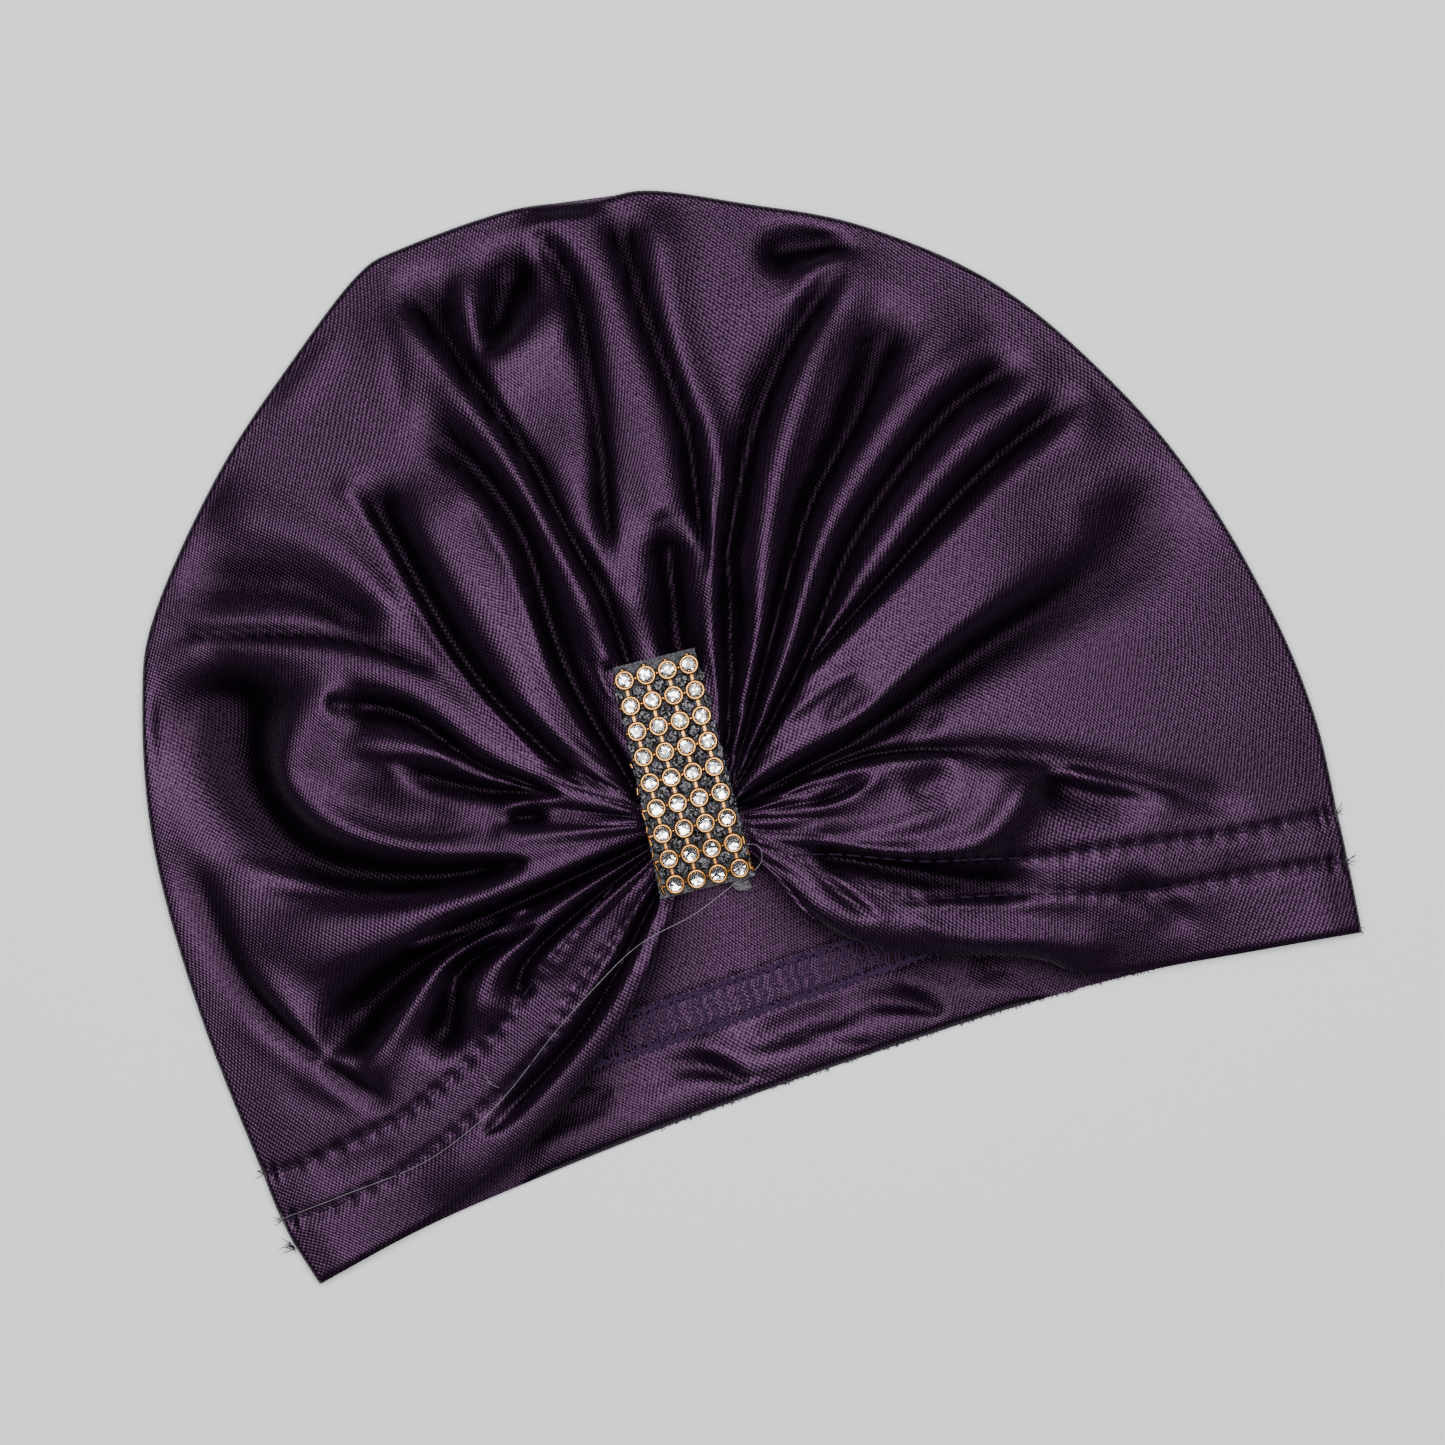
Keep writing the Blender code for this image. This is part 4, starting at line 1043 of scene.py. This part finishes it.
def make_setting(material):
    """Gold cups with rolled rims, the double bars between the rows, and the cut edges."""
    builder = bmesh.new()
    for row, column, along, across in cup_places():
        matrix = strip_matrix(along, across)
        turned(builder, CUP_PROFILE, CUP_SIDES, matrix)
        bars = []
        if row < CUP_ROWS:
            bars += LINK_BARS
        if column < CUP_COLUMNS:
            bars.append(SIDE_BAR)
        if row == 1:
            bars.append(TOP_LUG)
        if column == 1:
            bars.append(LEFT_LUG if row < LEFT_LONG_FROM else LEFT_LONG_LUG)
        if column == CUP_COLUMNS and row >= CUP_ROWS - 1:
            bars.append(RIGHT_LUG)
        for low, high in bars:
            bar(builder, low, high, matrix)
    low, high = CUT_LIFT
    for along, across, width, length, turn in CUT_BITS:
        matrix = strip_matrix(along, across) @ Matrix.Rotation(math.radians(turn), 4, "Z")
        corner = (width / 2, length / 2, high)
        bar(builder, (-width / 2, -length / 2, low), corner, matrix)
    return add_object("gold_setting", finish_mesh("gold_setting", builder, material, SHARP_FROM))


def spot_ring(builder, count, radius, height, offset=0.0, matrix=Matrix(), jitter=0.0):
    """A ring of points round an axis, each at a height of its own when there is a jitter."""
    spots = []
    for k in range(count):
        angle = math.tau * (k + offset) / count
        lift = height + (DICE.uniform(-jitter, jitter) if jitter else 0)
        spot = Vector((radius * math.cos(angle), radius * math.sin(angle), lift))
        spots.append(builder.verts.new(matrix @ spot))
    return spots


def brilliant_mesh(material):
    """A round stone's clear crown: table, stars, kites, girdle facets and a flat foot."""
    builder = bmesh.new()
    table = spot_ring(builder, STONE_SIDES, *STONE_TABLE)
    star = spot_ring(builder, STONE_SIDES, *STONE_STAR, 0.5)
    upper = spot_ring(builder, 2 * STONE_SIDES, STONE_GIRDLE[0], STONE_GIRDLE[1])
    lower = spot_ring(builder, 2 * STONE_SIDES, STONE_GIRDLE[0], STONE_GIRDLE[2])
    builder.faces.new(table)
    builder.faces.new(lower)
    for k in range(STONE_SIDES):
        m = (k + 1) % STONE_SIDES
        builder.faces.new((table[k], star[k], table[m]))
        builder.faces.new((table[k], star[k - 1], upper[2 * k], star[k]))
        builder.faces.new((star[k], upper[2 * k], upper[2 * k + 1]))
        builder.faces.new((star[k], upper[2 * k + 1], upper[2 * m]))
    join_rings(builder, lower, upper)
    return finish_mesh("brilliant", builder, material)


def silvered_facets(builder, matrix):
    """The silvered facets under a stone: two uneven rings of small mirrors in a closed disc."""
    middle = builder.verts.new(matrix @ Vector((0, 0, FOIL_MIDDLE)))
    inner = spot_ring(builder, STONE_SIDES, *FOIL_INNER, matrix=matrix, jitter=FOIL_JITTER)
    outer = spot_ring(builder, 2 * STONE_SIDES, *FOIL_OUTER, matrix=matrix, jitter=FOIL_JITTER)
    base = spot_ring(builder, 2 * STONE_SIDES, FOIL_OUTER[0], FOIL_BASE, matrix=matrix)
    builder.faces.new(base)
    for k in range(STONE_SIDES):
        m = (k + 1) % STONE_SIDES
        builder.faces.new((middle, inner[k], inner[m]))
        builder.faces.new((inner[k], outer[2 * k], outer[2 * k + 1]))
        builder.faces.new((inner[k], outer[2 * k + 1], inner[m]))
        builder.faces.new((inner[m], outer[2 * k + 1], outer[2 * m]))
    join_rings(builder, base, outer)


def make_stones(clear, foil):
    """A stone for every cup, each turned its own way, over one mesh of silvered facets."""
    mesh = brilliant_mesh(clear)
    foils = bmesh.new()
    for row, column, along, across in cup_places():
        name = f"r{row}_c{column}"
        matrix = strip_matrix(along, across) @ Matrix.Rotation(DICE.uniform(0, math.tau), 4, "Z")
        silvered_facets(foils, matrix)
        stone = add_object("rhinestone_" + name, mesh)
        stone.matrix_world = matrix
        dress(stone, "rhinestone", "stone_" + name)
    return add_object("stone_foils", finish_mesh("stone_foils", foils, foil))


def make_backing(felt, grit):
    """The dark felt strip, and the grains of black crystal that fill between the cups."""
    half = BACKING_LENGTH / 2
    along = np.linspace(-half, half, BACKING_ROWS) + BACKING_SHIFT
    half = BACKING_WIDTH / 2
    across = np.linspace(-half, half, BACKING_COLUMNS)
    along, across = np.meshgrid(along, across, indexing="ij")
    left, right = [np.interp(along, BACKING_ENDS, ends) for ends in BACKING_SIDES]
    ragged = 1 + 0.012 * np.sin(5.1 * along) + 0.008 * np.sin(11.7 * along + 2)
    wide = (left + (right - left) * (across / BACKING_WIDTH + 0.5)) * ragged
    fuzz = 0.07 * np.sin(7.3 * along + 3 * np.sin(4.1 * across)) * np.sin(6.1 * across)
    bottom = to_model(*strip_place(along, wide, BACKING_LIFT[0]))
    top = to_model(*strip_place(along, wide, BACKING_LIFT[1] + fuzz))
    plan = np.stack([across, along], axis=-1)
    backing = cloth_solid("felt_backing", top, bottom, plan, felt)
    builder = bmesh.new()
    for row in range(CUP_ROWS - 1):
        for column in range(CUP_COLUMNS + 1):
            shift = ((CUP_ROWS - 2) / 2 - row) * PITCH_ALONG
            side = (column - CUP_COLUMNS / 2) * PITCH_ACROSS
            side = min(max(side, BLOB_MARGIN - half), half - BLOB_MARGIN)
            narrow = BLOB_NARROW if column in (0, CUP_COLUMNS) else 1
            matrix = strip_matrix(shift, side) @ Matrix.Diagonal((narrow, 1, 1, 1))
            turned(builder, BLOB_PROFILE, BLOB_SIDES, matrix, BLOB_ROUGHNESS)
    return backing, add_object("black_grains", finish_mesh("black_grains", builder, grit))


def set_inputs(tree, node, inputs):
    """Sets a node's inputs to numbers and colours, or joins them to other nodes' outputs."""
    for name, value in inputs.items():
        if isinstance(value, bpy.types.NodeSocket):
            tree.links.new(value, node.inputs[name])
        else:
            node.inputs[name].default_value = value


def add_node(tree, kind, inputs=None, **settings):
    """A new node of a material with its settings and inputs."""
    node = tree.nodes.new(kind)
    for name, value in settings.items():
        setattr(node, name, value)
    set_inputs(tree, node, inputs or {})
    return node


def new_material(name):
    """A new material with its node tree and its shader."""
    material = bpy.data.materials.new(name)
    material.use_nodes = True
    tree = material.node_tree
    return material, tree, tree.nodes["Principled BSDF"]


def plain_material(name, inputs):
    """A material that is the same all over."""
    material, tree, shader = new_material(name)
    set_inputs(tree, shader, inputs)
    return material


def math_node(tree, operation, first, second=0.5):
    """The result of a Math node whose inputs are sockets or numbers."""
    return add_node(tree, "ShaderNodeMath", {0: first, 1: second}, operation=operation).outputs[0]


def mix_node(tree, factor, low, high):
    """A colour that runs from low to high as the factor goes from 0 to 1."""
    inputs = {"Factor": factor, "A": low, "B": high}
    return add_node(tree, "ShaderNodeMix", inputs, data_type="RGBA").outputs["Result"]


def ramp_node(tree, pattern, dark, light, start=0.0, end=1.0):
    """A colour that runs from dark to light as a pattern goes from start to end."""
    ramp = add_node(tree, "ShaderNodeValToRGB", {"Fac": pattern})
    for element, place, colour in zip(ramp.color_ramp.elements, (start, end), (dark, light)):
        element.position = place
        element.color = colour
    return ramp.outputs["Color"]


def bump_node(tree, height, strength, distance):
    """A normal with a pattern's relief; the distance is in metres."""
    inputs = {"Height": height, "Strength": strength, "Distance": distance}
    return add_node(tree, "ShaderNodeBump", inputs).outputs["Normal"]


def dimmed(colour, strength):
    """A colour times a strength."""
    return [strength * c for c in colour[:3]] + [1]


def knit_pattern(tree):
    """The tricot's surface on the cloth's plan: rows of spots, each row shifted by half a
    stitch, on a grain that wanders a little. Runs from 0 to 1."""
    place = add_node(tree, "ShaderNodeUVMap", uv_map="plan").outputs["UV"]
    slow = add_node(tree, "ShaderNodeTexNoise", {"Vector": place, "Scale": KNIT_WANDER[0], "Detail": 1})
    fine = add_node(tree, "ShaderNodeTexNoise", {"Vector": place, "Scale": KNIT_UNEVEN[0]})
    for noise, (_, reach) in ((slow, KNIT_WANDER), (fine, KNIT_UNEVEN)):
        inputs = {0: noise.outputs["Color"], 1: (reach, reach, 0), 2: place}
        moved = add_node(tree, "ShaderNodeVectorMath", inputs, operation="MULTIPLY_ADD")
        place = moved.outputs["Vector"]
    parts = add_node(tree, "ShaderNodeSeparateXYZ", {0: place}).outputs
    wale = math_node(tree, "MULTIPLY", parts["X"], math.tau / PLAN_SCALE / KNIT_WALE)
    course = math_node(tree, "MULTIPLY", parts["Y"], math.tau / PLAN_SCALE / KNIT_COURSE)
    slant = math_node(tree, "ADD", wale, math_node(tree, "MULTIPLY", course, KNIT_SLANT))
    across = math_node(tree, "SINE", slant)
    spots = math_node(tree, "MULTIPLY", across, math_node(tree, "SINE", course))
    spots = math_node(tree, "MULTIPLY", spots, KNIT_SPOTS)
    grain = math_node(tree, "SUBTRACT", fine.outputs["Fac"], 0.5)
    grain = math_node(tree, "MULTIPLY", grain, KNIT_GRAIN)
    return math_node(tree, "ADD", math_node(tree, "ADD", spots, grain), 0.5)


def satin_material(name, shine):
    """Shiny tricot: dark dyed yarn whose gloss has the dye's tint, with the knit in relief. Its colour
    and gloss are darkened by the painted shade stored on the cloth.
    """
    material, tree, shader = new_material(name)
    knit = knit_pattern(tree)
    # Painted shade: the cloth's stored light attribute darkens the colour and the gloss
    light = add_node(tree, "ShaderNodeAttribute", attribute_name="light").outputs["Fac"]
    inputs = {"Roughness": SATIN_ROUGHNESS, "Specular IOR Level": SATIN_GLOSS}
    for socket, colour, (low, high) in (
        ("Base Color", SATIN, SATIN_YARN), ("Specular Tint", shine, SATIN_GLINT),
    ):
        lit = mix_node(tree, knit, dimmed(colour, low), dimmed(colour, high))
        inputs[socket] = mix_node(tree, light, (0, 0, 0, 1), lit)
    inputs["Normal"] = bump_node(tree, knit, *SATIN_BUMP)
    set_inputs(tree, shader, inputs)
    return material


def thread_material(name, colour, roughness):
    """Spun thread with a fine twist."""
    material, tree, shader = new_material(name)
    inputs = {
        "Vector": add_node(tree, "ShaderNodeTexCoord").outputs["Object"],
        "Scale": TWIST_SCALE,
        "Distortion": 2,
    }
    twist = add_node(tree, "ShaderNodeTexWave", inputs, bands_direction="DIAGONAL").outputs["Fac"]
    set_inputs(tree, shader, {
        "Base Color": ramp_node(tree, twist, dimmed(colour, 0.5), colour),
        "Roughness": roughness,
        "Specular Tint": THREAD_SHINE,
    })
    return material


def metal_material(name, colour, roughness):
    """Polished metal with faint wear in its gloss."""
    material, tree, shader = new_material(name)
    inputs = {"Vector": add_node(tree, "ShaderNodeTexCoord").outputs["Object"], "Scale": WEAR_SCALE}
    wear = add_node(tree, "ShaderNodeTexNoise", inputs).outputs["Fac"]
    worn = math_node(tree, "MULTIPLY", wear, roughness)
    set_inputs(tree, shader, {
        "Base Color": colour,
        "Metallic": 1,
        "Roughness": math_node(tree, "ADD", worn, 0.5 * roughness),
    })
    return material


def grain_material(name, dark, light, roughness, scale, patches):
    """Grains of random brightness, most of them dark, in patches of lighter and darker ones."""
    material, tree, shader = new_material(name)
    place = add_node(tree, "ShaderNodeTexCoord").outputs["Object"]
    cells = add_node(tree, "ShaderNodeTexVoronoi", {"Vector": place, "Scale": scale})
    cloud = add_node(tree, "ShaderNodeTexNoise", {"Vector": place, "Scale": patches})
    patch = math_node(tree, "ADD", cloud.outputs["Fac"], GRAIN_PATCH)
    level = math_node(tree, "MULTIPLY", cells.outputs["Color"], patch)
    set_inputs(tree, shader, {
        "Base Color": ramp_node(tree, level, dark, light, *GRAIN_RANGE),
        "Roughness": roughness,
        "Normal": bump_node(tree, cells.outputs["Distance"], *GRAIN_BUMP),
    })
    return material


def make_front(material):
    """The front panel: one even wall under the folded surface."""
    plan = front_plan()
    x, y = plan[..., 0], plan[..., 1]
    height = front_height(x, y)
    top = to_model(x, y, height)
    bottom = to_model(x, y, height - CLOTH_DROP)
    cloth = cloth_solid("front_cloth", top, bottom, plan, material)
    # Painted shade down in the hollows between the folds
    store_painted_shade(cloth, hollow_shade(x, y, height))
    return cloth


def make_back(material):
    """The back panel, with close rows where the mouth shows it and wide ones beyond."""
    near = np.linspace(0, BACK_NEAR, BACK_NEAR_ROWS)
    far = np.linspace(0, 1, BACK_FAR_ROWS)[1:] ** BACK_FAR_CROWD
    levels = np.concatenate([near, BACK_NEAR + (BACK_CREST - BACK_NEAR) * far])
    plan = np.array([back_row(level) for level in levels])
    x, y = plan[..., 0], plan[..., 1]
    height = back_height(x, y)
    top = to_model(x, y, height)
    bottom = to_model(x, y, np.full(x.shape, BACK_BOTTOM))
    cloth = cloth_solid("back_cloth", top, bottom, plan, material)
    # Painted shadow of the front hem on the back panel, times painted shade between the wrinkles
    painted_hem_shadow = 1 - CONTACT_SHADE * np.exp(-front_hem_gap(x, y) / CONTACT_REACH)
    store_painted_shade(cloth, painted_hem_shadow * hollow_shade(x, y, height) ** BACK_HOLLOW)
    return cloth


def make_stage():
    """A plain pale floor, wide soft lights overhead, and a faint even surround."""
    bpy.ops.mesh.primitive_plane_add(size=FLOOR_SIZE)
    floor = bpy.context.object
    floor.name = "floor"
    floor.data.materials.append(plain_material("pale_floor", PALE_FLOOR))
    for name, place, width, depth, energy in SOFTBOXES:
        lamp = bpy.data.lights.new(name, "AREA")
        lamp.shape = "RECTANGLE"
        lamp.size = width
        lamp.size_y = depth
        lamp.energy = energy
        add_object(name, lamp).location = place
    world = bpy.data.worlds.new("surround")
    world.use_nodes = True
    for socket, value in zip(world.node_tree.nodes["Background"].inputs, SURROUND):
        socket.default_value = value
    bpy.context.scene.world = world


def make_camera():
    """Straight above the cap, with the photograph's turn and width."""
    lens = bpy.data.cameras.new("camera")
    lens.sensor_width = SENSOR
    lens.lens = SENSOR * CAMERA_HEIGHT / (PHOTO_WIDTH * MM)
    camera = add_object("camera", lens)
    camera.location = (*(np.array(PHOTO_MIDDLE) - PLAN_MIDDLE) * MM, CAMERA_HEIGHT)
    camera.rotation_euler = (0, 0, PHOTO_TURN)
    bpy.context.scene.camera = camera


def dress(piece, slot, *nodes):
    """A finished piece rides on the one body and stands for its CAD nodes."""
    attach(piece, "root")
    if nodes:
        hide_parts(*nodes)
    return piece


def main():
    """Builds the stage and every piece of the cap."""
    make_camera()
    make_stage()
    satin = satin_material("satin_front", SATIN_SHINE)
    satin_back = satin_material("satin_back", INSIDE_SHINE)
    purple = thread_material("purple_thread", *PURPLE_THREAD)
    looper = thread_material("looper_thread", *LOOPER_THREAD)
    grey = thread_material("grey_thread", *GREY_THREAD)
    nylon = plain_material("clear_nylon", NYLON)
    front = dress(make_front(satin), "satin", "front_panel")
    back = dress(make_back(satin_back), "satin_back", "back_panel")
    stitches = swept_threads("topstitching", stitch_paths(), STITCH_RADIUS, 6, purple)
    dress(stitches, "satin")
    loops = swept_threads("hem_loopers", looper_paths(), LOOPER_RADIUS, 5, looper)
    dress(loops, "satin_back")
    lines = zip((CLEAR_THREAD, CLEAR_TAIL), CLEAR_LIFTS)
    clear_paths = [loose_path(line, lift) for line, lift in lines]
    dress(swept_threads("clear_thread", clear_paths, CLEAR_RADIUS, 6, nylon), "satin")
    dress(swept_threads("grey_knot", tuft_paths(), TUFT_RADIUS, 5, grey), "satin")
    dress(swept_threads("frayed_ends", fray_paths(), FRAY_RADIUS, 4, purple), "satin")
    dress(make_setting(metal_material("gold", *GOLD)), "gold", "strip_setting")
    felt = grain_material("grey_felt", *FELT)
    grit = grain_material("black_crystal", *CRYSTAL)
    backing, grains = make_backing(felt, grit)
    dress(backing, "glitter_backing", "strip_backing")
    dress(grains, "glitter_backing")
    foil = metal_material("silver_foil", *SILVER)
    dress(make_stones(plain_material("clear_stone", GLASS), foil), "rhinestone")


main()
